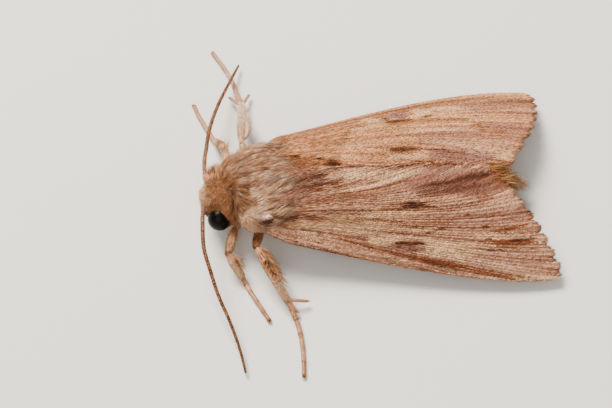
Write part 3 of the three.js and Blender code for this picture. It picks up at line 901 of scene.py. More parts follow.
def hindwing(name, side):
    nu, nv = 80, 90
    u, v = grid_over(HINDWING_U, HINDWING_V, nu, nv)
    top, normal, _ = hindwing_frame(u, v, side)
    under = top - normal * MEMBRANE
    values = {"chance": grain(u, v, side), "dark": 0.35 * smoothstep(0.75, 0.95, u)}
    name, solid = f"hindwing_membrane_{name}", f"hindwing_{name}"
    shell(name, top, under, values, hindwing_paint, "hindwing_scales", nu, nv, solid)


def hindwing_scales(name, side, over, count, seed):
    rng = np.random.default_rng(seed)
    u, v = rng.uniform(*HINDWING_U, count), rng.uniform(*HINDWING_V, count)
    point, normal, along = hindwing_frame(u, v, side)
    if not over:
        point, normal = point - normal * MEMBRANE, -normal
    lie = unit(along + rng.normal(0, 0.12, (count, 3)))
    chance = np.clip(grain(u, v, side) + rng.normal(0, 0.15, count), 0, 1)
    values = {"chance": chance, "dark": 0.35 * smoothstep(0.75, 0.95, u)}
    length, width = rng.uniform(0.34, 0.5, count), rng.uniform(0.09, 0.13, count)
    shapes = kites(point, normal, lie, length, width, rng.uniform(0.04, 0.14, count))
    name = f"hindwing_scales_{'top' if over else 'under'}_{name}"
    shingles(name, shapes, hindwing_paint, "hindwing_scales", wing_map(u, v, not over), values)


for seed, (name, side) in enumerate(SIDES.items()):
    hindwing(name, side)
    hindwing_scales(name, side, True, 3000, 300 + seed)
    hindwing_scales(name, side, False, 6000, 310 + seed)
    name, edge = f"hindwing_fringe_{name}", (HINDWING_DEPTH, HINDWING_U[1], HINDWING_V)
    fringe(name, side, *edge, 0.55, 900, 320 + seed, hindwing_paint, "hindwing_scales")

# %% [markdown]
# ## The body
# Under its coat the body is smooth. It could be sculpted. Here it is made of the same eggs as the solids, each
# smaller by the depth of its coat, joined and then remeshed, so that one skin runs over all of them without a
# seam and the coat still ends where the solids do.

# %% The eggs of the body
EGGS = {
    "thorax": {"at": (6.1, 0, 3.0), "size": (7.6, 6.8, 4.5), "taper": 0.16, "depth": 0.42},
    "collar": {"at": (3.0, 0, 3.1), "size": (3.2, 5.7, 3.4), "pitch": 0.1, "depth": 0.36},
    "head": {"at": (1.85, 0, 2.5), "size": (2.5, 3.3, 2.6), "depth": 0.26},
    "frons": {"at": (1.15, -0.05, 2.7), "size": (1.6, 1.9, 1.5), "depth": 0.24},
    "socket_left": {"at": (1.95, -1.28, 2.02), "size": (2.3, 1.9, 2.3), "depth": 0.24},
    "socket_right": {"at": (1.95, 1.28, 2.02), "size": (2.3, 1.9, 2.3), "depth": 0.24},
    "tegula_left": {"at": (5.2, -2.5, 3.2), "size": (5.0, 2.7, 3.0), "yaw": 0.04, "depth": 0.36},
    "tegula_right": {"at": (5.2, 2.5, 3.2), "size": (5.0, 2.7, 3.0), "yaw": -0.04, "depth": 0.36},
    "tail": {"at": (22.5, -0.12, 1.5), "size": (2.8, 1.7, 1.1), "taper": 0.2, "yaw": -0.2, "depth": 0.28},
}
ABDOMEN = {"front": 8.0, "length": 14.2, "half_width": 2.05, "flatness": 0.74, "height": 2.15, "sink": 0.65}
ABDOMEN_RINGS, ABDOMEN_COAT = 7, 0.22


def turned(points, egg, back_again=False):
    """Turns points by an egg's pitch and yaw, or back again."""
    pitch, yaw = egg.get("pitch", 0.0), egg.get("yaw", 0.0)
    up = np.array([[math.cos(pitch), 0, -math.sin(pitch)], [0, 1, 0], [math.sin(pitch), 0, math.cos(pitch)]])
    round_z = np.array([[math.cos(yaw), -math.sin(yaw), 0], [math.sin(yaw), math.cos(yaw), 0], [0, 0, 1]])
    turn = round_z @ up
    return points @ (turn if back_again else turn.T)


def egg_level(points, egg):
    """1 on the egg's own surface under the coat, more outside it."""
    local = turned(points - np.array(egg["at"]), egg, back_again=True)
    local = local / (np.array(egg["size"]) - 2 * egg["depth"])
    narrowing = 1 - 2 * egg.get("taper", 0.0) * np.clip(local[:, 0], -0.5, 0.5)
    local = local / np.stack([np.ones_like(narrowing), narrowing, narrowing], 1)
    return 2 * np.linalg.norm(local, axis=1)


print(len(EGGS), "eggs and an abdomen of", ABDOMEN_RINGS, "rings")

# %% [markdown]
# Each egg starts as a sphere of Blender's, whose points are then narrowed, sized, turned and put in place. The
# abdomen is longer and ringed, so it has a rule of its own.

# %% Shaping the eggs
def add_egg(egg):
    bpy.ops.mesh.primitive_uv_sphere_add(segments=40, ring_count=28, radius=0.5)
    ball = bpy.context.object
    points = np.array([tuple(v.co) for v in ball.data.vertices])
    narrowing = 1 - 2 * egg.get("taper", 0.0) * points[:, 0]
    points[:, 1:] *= narrowing[:, None]
    points = turned(points * (np.array(egg["size"]) - 2 * egg["depth"]), egg) + egg["at"]
    ball.data.vertices.foreach_set("co", metres(points).astype(np.float32).ravel())
    return ball


def add_abdomen():
    bpy.ops.mesh.primitive_uv_sphere_add(segments=40, ring_count=64, radius=0.5, rotation=(0, math.pi / 2, 0))
    bpy.ops.object.transform_apply(location=True, rotation=True, scale=True)
    ball = bpy.context.object
    points = np.array([tuple(v.co) for v in ball.data.vertices])
    share = np.clip(points[:, 0] + 0.5, 0, 1)
    round_unit = points[:, 1:] / np.maximum(np.linalg.norm(points[:, 1:], axis=1, keepdims=True), 1e-6)
    blunt = np.minimum(1, np.sqrt(share / 0.06))
    radius = ABDOMEN["half_width"] * np.maximum(np.cos(share * math.pi / 2), 0) ** 0.55 * blunt
    radius *= 1 - 0.05 * np.cos(2 * math.pi * ABDOMEN_RINGS * share) - ABDOMEN_COAT / ABDOMEN["half_width"]
    x = ABDOMEN["front"] + ABDOMEN["length"] * share
    y = round_unit[:, 0] * radius
    z = ABDOMEN["height"] - ABDOMEN["sink"] * share**1.2 + round_unit[:, 1] * radius * ABDOMEN["flatness"]
    ball.data.vertices.foreach_set("co", metres(np.stack([x, y, z], 1)).astype(np.float32).ravel())
    return ball


def chosen(objects):
    bpy.ops.object.select_all(action="DESELECT")
    for piece in objects:
        piece.select_set(True)
    bpy.context.view_layer.objects.active = objects[0]
    return objects[0]

# %% [markdown]
# The palps are two short furry horns in front of the mouth. Limbs, palps and feelers are drawn as curves with
# a round bevel whose radius is given at each point, and then made meshes.

# %% Limbs from curves
def smooth_path(points, count):
    """A smooth curve through the points, as count points evenly spaced in its parameter."""
    points = np.asarray(points, float)
    padded = np.concatenate([[2 * points[0] - points[1]], points, [2 * points[-1] - points[-2]]])
    t = np.linspace(0, len(points) - 1 - 1e-9, count)
    i = t.astype(int)
    f = (t - i)[:, None]
    a, b, c, d = (padded[i + k] for k in range(4))
    return 0.5 * (2 * b + (c - a) * f + (2 * a - 5 * b + 4 * c - d) * f**2 + (3 * b - a - 3 * c + d) * f**3)


def rods(name, strands, sides=3):
    """One mesh of several round rods. Each strand is (points in mm, radii in mm)."""
    curve = bpy.data.curves.new(name, "CURVE")
    curve.dimensions = "3D"
    curve.bevel_depth = MM
    curve.bevel_resolution = sides
    curve.use_fill_caps = True
    for points, radii in strands:
        spline = curve.splines.new("POLY")
        spline.points.add(len(points) - 1)
        for knot, place, radius in zip(spline.points, metres(points), radii):
            knot.co = (*place, 1)
            knot.radius = radius
    chosen([placed(name, curve)])
    bpy.ops.object.convert(target="MESH")
    rod = bpy.context.object
    rod.data.shade_smooth()
    return rod


def spindle_radii(radii, count):
    """Radii along a limb that is closed to a point at both ends."""
    t = np.linspace(0, 1, count)
    swell = np.interp((t - 0.03) / 0.94, np.linspace(0, 1, len(radii)), radii)
    ends = np.sqrt(np.clip(np.minimum(t, 1 - t) / 0.06, 0, 1))
    return np.maximum(swell * ends, 0.004)


PALP = {"root": (1.4, 0.66, 1.05), "tip": (0.62, 0.5, 2.62), "radii": (0.2, 0.27, 0.26, 0.16)}


def palp_path(side):
    root, tip = np.array(PALP["root"]) * (1, side, 1), np.array(PALP["tip"]) * (1, side, 1)
    return smooth_path([root, (root + tip) / 2 - (0.14, 0, 0.05), tip], 16)


print("palp", round(float(np.linalg.norm(np.subtract(PALP["tip"], PALP["root"]))), 2), "mm long")

# %% [markdown]
# The horny skin under the coat is chitin: hard, with a dull gloss and fine pores. Insects' feelers and legs
# are of the same stuff, so one function makes the cuticle of each, with its own browns and its own grain.

# %% Chitin
def chitin(name, deep, light, grain_mm, bump_mm, roughness):
    """Cuticle: hard, slightly glossy, with pores. Its colour drifts between two browns."""
    material, tree = new_material(name)
    place = add(tree, "ShaderNodeTexCoord").outputs["Object"]
    drift = add(tree, "ShaderNodeTexNoise", {"Vector": place, "Scale": 1 / (grain_mm * 6 * MM), "Detail": 4})
    ramp = add(tree, "ShaderNodeValToRGB", {"Fac": drift.outputs["Fac"]})
    ramp.color_ramp.elements[0].color = linear(deep)
    ramp.color_ramp.elements[0].position = 0.3
    ramp.color_ramp.elements[1].color = linear(light)
    ramp.color_ramp.elements[1].position = 0.7
    pores = add(tree, "ShaderNodeTexNoise", {"Vector": place, "Scale": 1 / (grain_mm * MM), "Detail": 3})
    relief = {"Height": pores.outputs["Fac"], "Strength": 0.6, "Distance": bump_mm * MM}
    bump = add(tree, "ShaderNodeBump", relief)
    shader = add(
        tree,
        "ShaderNodeBsdfPrincipled",
        {
            "Base Color": ramp.outputs["Color"],
            "Roughness": roughness,
            "Normal": bump.outputs[0],
            "IOR": 1.56,
        },
    )
    add(tree, "ShaderNodeOutputMaterial", {"Surface": shader.outputs[0]})
    return material


skin_cuticle = chitin("skin_under_coat", "#7A5236", "#A87A54", 0.12, 0.05, 0.8)

# %% [markdown]
# Remesh turns the joined eggs into one even surface, and Smooth melts the creases where they met.

# %% One skin for the body
VOXEL = 0.13
SMOOTHINGS = 6


def body_skin():
    parts = [add_egg(egg) for egg in EGGS.values()] + [add_abdomen()]
    parts += [rods("palp", [(palp_path(side), spindle_radii(PALP["radii"], 16))]) for side in SIDES.values()]
    skin = chosen(parts)
    bpy.ops.object.join()
    skin.name = skin.data.name = "body_skin"
    skin.matrix_world.identity()
    remesh = skin.modifiers.new("one surface", "REMESH")
    remesh.mode = "VOXEL"
    remesh.voxel_size = VOXEL * MM
    remesh.use_smooth_shade = True
    bpy.ops.object.modifier_apply(modifier=remesh.name)
    smooth = skin.modifiers.new("melt creases", "SMOOTH")
    smooth.iterations = SMOOTHINGS
    bpy.ops.object.modifier_apply(modifier=smooth.name)
    bpy.ops.object.mode_set(mode="EDIT")
    bpy.ops.mesh.select_all(action="SELECT")
    bpy.ops.uv.smart_project(angle_limit=math.radians(66), island_margin=0.004)
    bpy.ops.object.mode_set(mode="OBJECT")
    skin.data.uv_layers[0].name = "OFBake"
    skin.data.materials.clear()
    paired = [f"{part}_{side}" for part in ("tegula", "palp") for side in SIDES]
    dress(skin, skin_cuticle, "body_fur", "head", "collar", "thorax", "abdomen", "tail_tuft", *paired)
    print("skin", len(skin.data.polygons), "faces")
    return skin


skin = body_skin()

# %% [markdown]
# ## The coat
# Hairs grow from roots strewn evenly over the skin, by the area of its triangles. Every root knows its place,
# the skin's slope there, and its spot on the skin's unwrap.

# %% Strewing roots on a mesh
def strew(surface, count, rng):
    """count points on a mesh: place in mm, normal and map place."""
    mesh = surface.data
    mesh.calc_loop_triangles()
    n = len(mesh.loop_triangles)
    corners, loops = np.empty(n * 3, np.int32), np.empty(n * 3, np.int32)
    mesh.loop_triangles.foreach_get("vertices", corners)
    mesh.loop_triangles.foreach_get("loops", loops)
    co, no = np.empty(len(mesh.vertices) * 3, np.float32), np.empty(len(mesh.vertices) * 3, np.float32)
    mesh.vertices.foreach_get("co", co)
    mesh.vertices.foreach_get("normal", no)
    uv = np.empty(len(mesh.loops) * 2, np.float32)
    mesh.uv_layers["OFBake"].data.foreach_get("uv", uv)
    corners, loops = corners.reshape(-1, 3), loops.reshape(-1, 3)
    co, no, uv = co.reshape(-1, 3) / MM - SHIFT, no.reshape(-1, 3), uv.reshape(-1, 2)
    a, b, c = (co[corners[:, k]] for k in range(3))
    area = np.linalg.norm(np.cross(b - a, c - a), axis=1)
    pick = rng.choice(n, count, p=area / area.sum())
    s, t = rng.random((2, count))
    flip = s + t > 1
    s, t = np.where(flip, 1 - s, s), np.where(flip, 1 - t, t)
    weights = np.stack([1 - s - t, s, t], 1)[..., None]
    place = (co[corners[pick]] * weights).sum(1)
    normal = unit((no[corners[pick]] * weights).sum(1))
    return place, normal, (uv[loops[pick]] * weights).sum(1)

# %% [markdown]
# A root belongs to the part of the body whose egg reaches furthest out there. So the joined skin still knows
# its head from its collar, and each part can have its own length and lie of hair.

# %% The parts of the body by place
REGIONS = (*EGGS, "abdomen", "palps")
PALP_REACH = 0.3


def region_of(points):
    """Which part of the body each root grows on, as an index into REGIONS."""
    levels = [egg_level(points, egg) for egg in EGGS.values()]
    share = np.clip((points[:, 0] - ABDOMEN["front"]) / ABDOMEN["length"], 0, 1)
    radius = np.maximum(ABDOMEN["half_width"] * np.cos(share * math.pi / 2) ** 0.55 - ABDOMEN_COAT, 0.05)
    height = ABDOMEN["height"] - ABDOMEN["sink"] * share**1.2
    levels.append(np.hypot(points[:, 1], (points[:, 2] - height) / ABDOMEN["flatness"]) / radius + 3 * (share == 0))
    paths = [palp_path(side) for side in SIDES.values()]
    near_palp = [np.linalg.norm(points[:, None] - path[None], axis=2).min(1) for path in paths]
    levels.append(np.min(near_palp, axis=0) / PALP_REACH)
    return np.argmin(np.array(levels), axis=0)


print("parts of the body:", ", ".join(REGIONS))

# %% [markdown]
# The eyes are domes set deep into the skin. Their size comes before the coat, because no hair may grow
# through them.

# %% The place of the eyes
EYE = {"at": (1.68, 1.55, 2.0), "size": (1.70, 1.70, 1.78)}
EYE_CLEARANCE = 0.515  # as a share of the dome's size, whose surface is at 0.5


def in_eye(points, side):
    middle = np.array(EYE["at"]) * (1, side, 1)
    return np.linalg.norm((points - middle) / np.array(EYE["size"]), axis=1) < EYE_CLEARANCE


print("eyes of", EYE["size"], "mm")

# %% [markdown]
# The lie of the coat is what makes an animal look alive. On the face it runs forward and down, on the collar it
# stands up like a ruff, and from there it streams back over the thorax and between the wings.

# %% The lie, length and colour of the coat
FUR = {
    # region: (lie, length mm, width mm, lift, droop, share of the coat)
    "head": ((-0.35, -0.15, 0.25), 0.46, 0.030, 0.72, 0.35, 2.2),
    "frons": ((-0.45, 0.0, 0.5), 0.50, 0.031, 0.8, 0.5, 2.6),
    "socket_left": ((0.1, -0.6, 0.2), 0.45, 0.034, 0.5, 0.5, 2.0),
    "socket_right": ((0.1, 0.8, 0.4), 0.80, 0.034, 0.6, 0.5, 2.4),
    "collar": ((1.0, 0.0, 0.4), 1.05, 0.031, 0.55, 0.40, 2.2),
    "thorax": ((1.0, 0.0, -0.05), 1.45, 0.034, 0.22, 0.30, 1.0),
    "tegula_left": ((1.0, 0.10, 0.05), 1.45, 0.034, 0.20, 0.28, 1.0),
    "tegula_right": ((1.0, -0.05, 0.05), 1.45, 0.034, 0.18, 0.28, 1.0),
    "tail": ((1.0, -0.55, 0.05), 1.2, 0.038, 0.22, 0.1, 1.6),
    "abdomen": ((1.0, 0.0, -0.05), 0.75, 0.060, 0.28, 0.25, 0.55),
    "palps": ((-0.35, 0.0, 0.9), 0.40, 0.04, 0.5, 0.3, 2.4),
}
FUR_STRAW = ("#744628", "#D4986E", "#FFDEBA")
fur_paint = scale_paint(
    "body_hair_straw", FUR_STRAW, "#42200A", "#BC7C48", "#FFD6B0", "#A88270", painted_shade_at_root=0.66, roughness=0.58,
    sheen=0.08,
)

print(len(FUR), "parts of the body, each with its own hair")

# %% [markdown]
# The thorax has its own streaks, dark, rust and pale. They are drawn with the strokes that the wings use, as
# seen from above: pigment, start and end in x and y, width in millimetres, strength.

# %% Marks of the coat
COAT_MARKS = (
    ("rust", (2.95, -0.80), (3.85, -0.70), 0.60, 0.60),
    ("dark", (3.20, -0.62), (3.85, -0.55), 0.26, 0.55),
    ("rust", (3.00, -1.75), (3.90, -1.60), 1.00, 0.60),
    ("dark", (3.20, -1.30), (3.55, -1.38), 0.18, 0.80),
    ("dark", (3.05, -1.75), (3.30, -1.85), 0.14, 0.60),
    ("dark", (3.45, 2.60), (3.75, 2.65), 0.34, 0.60),
    ("dark", (2.55, -0.90), (2.85, -1.60), 0.14, 0.45),
    ("dark", (2.20, 0.10), (2.60, -0.30), 0.14, 0.40),
    ("rust", (3.90, 1.30), (5.30, 1.05), 0.55, 0.50),
    ("dark", (4.40, 1.00), (5.30, 0.90), 0.14, 0.45),
    ("dark", (5.20, 1.95), (6.00, 1.75), 0.16, 0.50),
    ("dark", (7.00, 1.50), (7.75, 1.60), 0.30, 0.65),
    ("rust", (7.00, 1.15), (9.20, 1.05), 1.00, 0.55),
    ("dark", (7.10, 0.85), (7.60, 0.80), 0.28, 0.50),
    ("dark", (7.40, 0.55), (8.40, 0.45), 0.32, 0.60),
    ("dark", (6.60, -0.85), (9.60, -0.30), 0.95, 0.55),
    ("dark", (7.60, -0.95), (9.60, -0.75), 0.16, 0.85),
    ("dark", (6.20, -1.45), (7.40, -1.30), 0.14, 0.45),
    ("pale", (4.00, -1.25), (6.20, -1.40), 0.90, 0.22),
    ("grey", (4.40, -0.65), (6.20, -0.45), 0.60, 0.60),
    ("grey", (6.20, -2.05), (7.80, -1.65), 0.60, 0.55),
    ("rust", (7.60, 1.90), (9.60, 1.60), 0.50, 0.45),
    ("rust", (6.00, 1.60), (7.20, 1.30), 0.60, 0.40),
    ("dark", (4.70, -2.70), (7.70, -2.25), 0.13, 0.85),
    ("dark", (5.20, -3.05), (6.30, -3.30), 0.24, 0.80),
    ("dark", (6.20, -3.30), (7.60, -2.80), 0.20, 0.75),
    # a pale spot on the hair at the worn chip: partly its pinkish colour, partly a painted highlight of its gloss
    ("pale", (4.50, -3.05), (5.10, -3.22), 0.34, 1.0),
    ("dark", (4.30, -3.30), (5.20, -3.48), 0.18, 0.70),
    ("rust", (5.40, -3.10), (7.20, -3.05), 0.30, 0.45),
)
GROOVE_X = 2.75  # where the groove between head and collar crosses the back
GROOVE_MIDDLE, GROOVE_BEND = -1.2, 0.12
UPPER_SIDE, CROWN = 2.6, 2.4  # heights above which marks and flecks show


def past_groove(x, y):
    """How far behind the curved groove between head and collar a point lies, in mm."""
    return x - GROOVE_X + GROOVE_BEND * (y - GROOVE_MIDDLE) ** 2


print(len(COAT_MARKS), "marks on the coat")

# %% [markdown]
# The head is tawny and finely speckled, the face pale, and the groove behind the head is flecked with dark
# and darkened by painted shade.
# On the thorax neighbouring hairs share a shade, which gives long strands of light and dark straw.

# %% How the coat is marked
def fur_masks(place, rng):
    x, y, z = place.T
    n = len(place)
    masks = {mask: np.zeros(n) for mask in MASKS}
    ragged = 0.5 + soft_noise(x * 5 + 60, y * 9 + 60, 46)
    for mask, start, end, width, strength in COAT_MARKS:
        ends = (np.array(end_point) / (WING_LENGTH, WING_WIDTH) for end_point in (start, end))
        covered = spindle_mark(x / WING_LENGTH, y / WING_WIDTH, *ends, width * ragged)
        masks[mask] = np.maximum(masks[mask], covered * strength * (z > UPPER_SIDE))
    # The head is tawny as far as the groove behind it, which is flecked with dark; the face is pale.
    behind_groove = past_groove(x, y) + 0.5 * (soft_noise(x * 2 + 70, y * 5 + 70, 45) - 0.5)
    mottle = soft_noise(x * 3, y * 3 + 40, 41)
    tawny = smoothstep(0.45, -0.25, behind_groove) * (0.42 + 0.55 * mottle)
    tawny = tawny * (0.35 + 0.65 * smoothstep(1.5, 0.6, y))
    on_collar = np.exp(-(((behind_groove - 0.8) / 0.9) ** 2)) * smoothstep(2.6, 1.2, np.abs(y + 0.3))
    face = smoothstep(1.15, 0.75, x) * (z > 2.0)
    tawny = np.maximum(tawny * (1 - 0.85 * face), 0.3 * on_collar * smoothstep(0.45, 0.75, mottle))
    masks["rust"] = np.clip(np.maximum(masks["rust"], tawny), 0, 1)
    # In the groove the hair gets rust, its own tawny, and a band of dark that is painted shade in the groove.
    groove_rust_and_shade = np.exp(-(((behind_groove - 0.20) / 0.28) ** 2)) * (z > CROWN)
    masks["rust"] = np.maximum(masks["rust"], 0.8 * groove_rust_and_shade)
    masks["dark"] = np.maximum(masks["dark"], 0.34 * groove_rust_and_shade)
    flecks = smoothstep(0.52, 0.66, soft_noise(x * 7 + 20, y * 6 + 60, 44))
    flecks = flecks * np.maximum(np.exp(-((behind_groove / 0.34) ** 2)), 0.5 * on_collar)
    masks["dark"] = np.maximum(masks["dark"], 0.85 * flecks * (z > CROWN))
    shoulder = smoothstep(2.0, 3.0, np.abs(y)) * smoothstep(2.6, 3.4, x) * (x < 5)
    masks["pale"] = np.maximum(masks["pale"], 0.5 * face + 0.2 * shoulder)
    greyed = smoothstep(0.5, 0.8, soft_noise(x * 0.8 + 9, y * 1.8 + 40, 43)) * smoothstep(3.6, 5.0, x)
    masks["grey"] = np.maximum(masks["grey"], np.maximum(0.22 * greyed, 0.25 * smoothstep(2.4, 1.2, z)))
    # Neighbouring hairs share a shade, in long strands. The head's hairs are darker and each has its own shade.
    strands = 0.9 * (soft_noise(x * 1.9 + 40, (y - 0.2 * x) * 14 + 90, 47) - 0.5)
    strands += 0.7 * (soft_noise(x * 4, y * 7 + 70, 48) - 0.5)
    on_head = smoothstep(0.5, -0.1, behind_groove)
    strands = strands * (1 - 0.6 * on_head) - 0.22 * on_head
    masks["chance"] = np.clip(0.5 + strands + rng.normal(0, 1, n) * (0.14 + 0.26 * on_head), 0, 1)
    speckle = 0.25 * (rng.random(n) < 0.08) + (0.08 + 0.45 * (rng.random(n) < 0.12)) * on_head * (1 - face)
    masks["dark"] = np.maximum(masks["dark"], speckle)
    return masks

# %% [markdown]
# The roots are strewn once, many more than there are hairs. Roots before the groove count as the head's, and
# those inside an eye's dome are left out, but for the brow over the right eye.

# %% Roots for all the coats
ROOT_COUNT = 260000
BROW_BASE = 2.3  # the height above which the brow may stand on the right eye
root_dice = np.random.default_rng(400)
ROOT_PLACE, ROOT_NORMAL, ROOT_UV = strew(skin, ROOT_COUNT, root_dice)
ROOT_REGION = region_of(ROOT_PLACE + root_dice.normal(0, 0.13, ROOT_PLACE.shape))
before_groove = (ROOT_REGION == REGIONS.index("collar")) & (past_groove(ROOT_PLACE[:, 0], ROOT_PLACE[:, 1]) < 0)
ROOT_REGION[before_groove & (ROOT_PLACE[:, 2] > UPPER_SIDE)] = REGIONS.index("head")
ROOT_FREE = ~in_eye(ROOT_PLACE, LEFT) & ~(in_eye(ROOT_PLACE, RIGHT) & (ROOT_PLACE[:, 2] < BROW_BASE))
FULL_SHARE = 2.2  # a part of the body with this share of the coat, or more, uses every root that it has


def pick_roots(parts, side, count, rng):
    """Place, normal, map place and part of the first count roots of a coat. A side of 0 means both sides."""
    share = np.array([FUR[part][5] for part in REGIONS])[ROOT_REGION]
    grows = ROOT_FREE & np.isin(ROOT_REGION, [REGIONS.index(part) for part in parts])
    if side:
        grows &= ROOT_PLACE[:, 1] * side > 0
    keep = grows & (rng.random(len(ROOT_PLACE)) < share / FULL_SHARE)
    return [array[keep][:count] for array in (ROOT_PLACE, ROOT_NORMAL, ROOT_UV, ROOT_REGION)]


print("roots to choose from:", ROOT_FREE.sum())

# %% [markdown]
# Combing turns each hair from the plain lie of its part. Hair between the wings runs inwards, the flanks' hair
# hangs, the collar stands up as a ruff, and the hair at the nape is combed back over the groove.

# %% Combing the body
HEAD_TOP = 2.0  # the height above which the head's hair is tousled


def comb_body(place, normal, region, rng):
    """Lie, length and lift of each hair, and how near the nape it grows."""
    n = len(place)
    lie, length, lift = (np.array([FUR[part][k] for part in REGIONS])[region] for k in (0, 1, 3))
    x, y, z = place.T
    inward = np.exp(-(((y + 1.3) / 0.9) ** 2)) * smoothstep(3.4, 4.6, x) * (x < 10)
    lie = lie + np.stack([0 * x, -0.04 * y * (x > 3) + 0.38 * inward, 0 * x], 1)
    # The front of the shoulder drops its hair over the wing's root, and the flank's hair hangs.
    shoulder = smoothstep(4.6, 3.4, x) * smoothstep(2.2, 3.2, np.abs(y))
    flank = smoothstep(2.9, 1.8, z) * (x > 3.2) * (x < 9)
    outward = np.sign(y) * (1.0 * shoulder + 0.9 * flank)
    lie = lie + np.stack([-0.6 * shoulder, outward, -1.0 * shoulder - 0.4 * flank], 1)
    # The collar's ruff leans back over the dip before the thorax, whatever the slope it grows on.
    ruff = unit(np.stack([0 * x + 1.0, 0.22 * y, 0.42 + 0 * x], 1) + rng.normal(0, 0.13, (n, 3)))
    steepness = np.arcsin(np.clip(np.sum(ruff * normal, 1), -0.2, 0.95))
    is_collar = region == REGIONS.index("collar")
    lie = np.where(is_collar[:, None], ruff, lie)
    lift = np.where(is_collar, np.maximum(steepness, 0.1), lift)
    lock = np.stack([soft_noise(x * 1.3 + k * 31, y * 2.2 + z + 30, 51 + k) - 0.5 for k in range(3)], 1)
    on_head = (region == REGIONS.index("head")) & (z > HEAD_TOP)
    # The hair at the back of the head is combed back over the groove and hides its front edge.
    nape = on_head * smoothstep(-0.65, -0.15, past_groove(x, y))
    lie = lie + nape[:, None] * np.array((2.0, 0.25, 0.35))
    tousled = 0.11 + 0.10 * smoothstep(5.0, 3.4, x) + 0.10 * smoothstep(1.7, 1.0, x) + 0.24 * on_head
    lie = unit(lie + 0.40 * lock + rng.normal(0, 1, (n, 3)) * tousled[:, None])
    lift = lift + 0.2 * (soft_noise(x * 2.0 + 5, y * 2.6 + 30, 57) - 0.5) + rng.normal(0, 0.06, n)
    # Behind the collar the hair is short and flat, so that the collar's hair passes over it without a step.
    back_hair = (x > 3.0) & ~is_collar
    lift = lift - 0.06 * smoothstep(6.5, 9.0, x) * (x < 10) - 0.10 * back_hair * smoothstep(4.6, 3.6, x)
    length = length * np.where(is_collar, rng.uniform(0.35, 1.25, n), rng.uniform(0.65, 1.1, n))
    length = length * (1 + 0.4 * shoulder)
    length = length * np.where(back_hair, 0.42 + 0.63 * smoothstep(3.4, 6.5, x), 1.0)
    shaggy = 0.6 * rng.random(n) * smoothstep(6.0, 9.0, x) * (x < 10)
    length = length * (1 + 0.5 * flank * (np.abs(y) > 2) + shaggy)
    return lie, length, lift, nape

# %% [markdown]
# The head has the finest combing. The face's knob fans out evenly, a brow of longer hair stands over the right
# eye, a short hood lies over the left eye's rear edge, and a tuft hides the root of each feeler.

# %% Combing the head
FEELER_ROOT, TUFT_REACH = (1.1, 0.72, 3.1), 0.42


def comb_head(place, region, lie, length, lift, nape, rng):
    x, y, z = place.T
    knob = region == REGIONS.index("frons")
    lie = lie + np.stack([0 * x, 0.55 * (y + 0.05) * knob, 0 * x], 1)
    rounded = np.clip(1.15 - 0.9 * (y + 0.05) ** 2, 0.3, 1.2) * rng.uniform(0.6, 1.2, len(place))
    length = length * np.where(knob, rounded, 1)
    brow = np.exp(-(((x - 1.5) / 0.8) ** 2)) * smoothstep(0.5, 1.0, y) * (z > 2.2)
    lie, lift = unit(lie + brow[:, None] * np.array((-0.1, 1.5, 0.7))), lift + 0.35 * brow
    hood = np.exp(-(((x - 2.45) / 0.6) ** 2)) * smoothstep(-0.5, -0.9, y) * smoothstep(1.9, 2.3, z)
    lie, lift = unit(lie + hood[:, None] * np.array((-1.2, -1.4, -0.2))), lift - 0.1 * hood
    length = length * (1 + 0.4 * brow - 0.45 * hood + 0.7 * nape)
    for way in (LEFT, RIGHT):
        away = np.linalg.norm(place - np.array(FEELER_ROOT) * (1, way, 1), axis=1)
        near = np.exp(-((away / TUFT_REACH) ** 2))
        lie, lift = unit(lie + near[:, None] * np.array((-1.2, 1.6 * way, 0.9))), lift + 0.35 * near
        length = length * (1 + 0.35 * near)
    return lie, length, lift

# %% [markdown]
# Each coat picks its roots, combs them and lays its blades. A hair takes the marking of the place where its
# middle lies, not of its root, so that a streak looks the same from above however long the hair is.

# %% Growing the coats
ROOT_SINK = 0.02  # how deep in the skin a hair's root is set
COATS = (
    # piece, parts of the body, side, hairs, seed, slot
    ("head_fur", ("head", "frons", "socket_left", "socket_right", "palps"), 0, 11500, 401, "body_fur"),
    ("collar_ruff", ("collar",), 0, 8500, 402, "collar_fur"),
    ("thorax_fur_left", ("thorax", "tegula_left"), LEFT, 11500, 410, "body_fur"),
    ("thorax_fur_right", ("thorax", "tegula_right"), RIGHT, 11500, 411, "body_fur"),
    ("abdomen_fur", ("abdomen",), 0, 5000, 420, "abdomen_fur"),
    ("tail_brush", ("tail",), 0, 1100, 421, "abdomen_fur"),
)


def grow_coat(name, parts, side, count, seed, slot):
    rng = np.random.default_rng(seed)
    place, normal, root_uv, region = pick_roots(parts, side, count, rng)
    *combed, nape = comb_body(place, normal, region, rng)
    lie, length, lift = comb_head(place, region, *combed, nape, rng)
    width, droop = (np.array([FUR[part][k] for part in REGIONS])[region] for k in (2, 4))
    width = width * rng.uniform(0.8, 1.2, len(place))
    shapes = blades(place - normal * ROOT_SINK, normal, lie, length, width, lift, droop)
    coat(name, shapes, fur_paint, slot, root_uv, fur_masks(shapes[:, 3:6].mean(1), rng))


for row in COATS:
    grow_coat(*row)

# %% [markdown]
# On the left shoulder a few scales have worn off, and a chip of the horny plate below shines through. It is a
# heap of small glossy plates that lie just above the hair roots, in the plate's own pinkish brown, with a
# painted highlight along its upper side and painted shade along its lower side.

# %% The worn spot on the shoulder
WORN = {"at": (4.88, -3.12), "half": (0.34, 0.15), "above": 0.36, "count": 60}


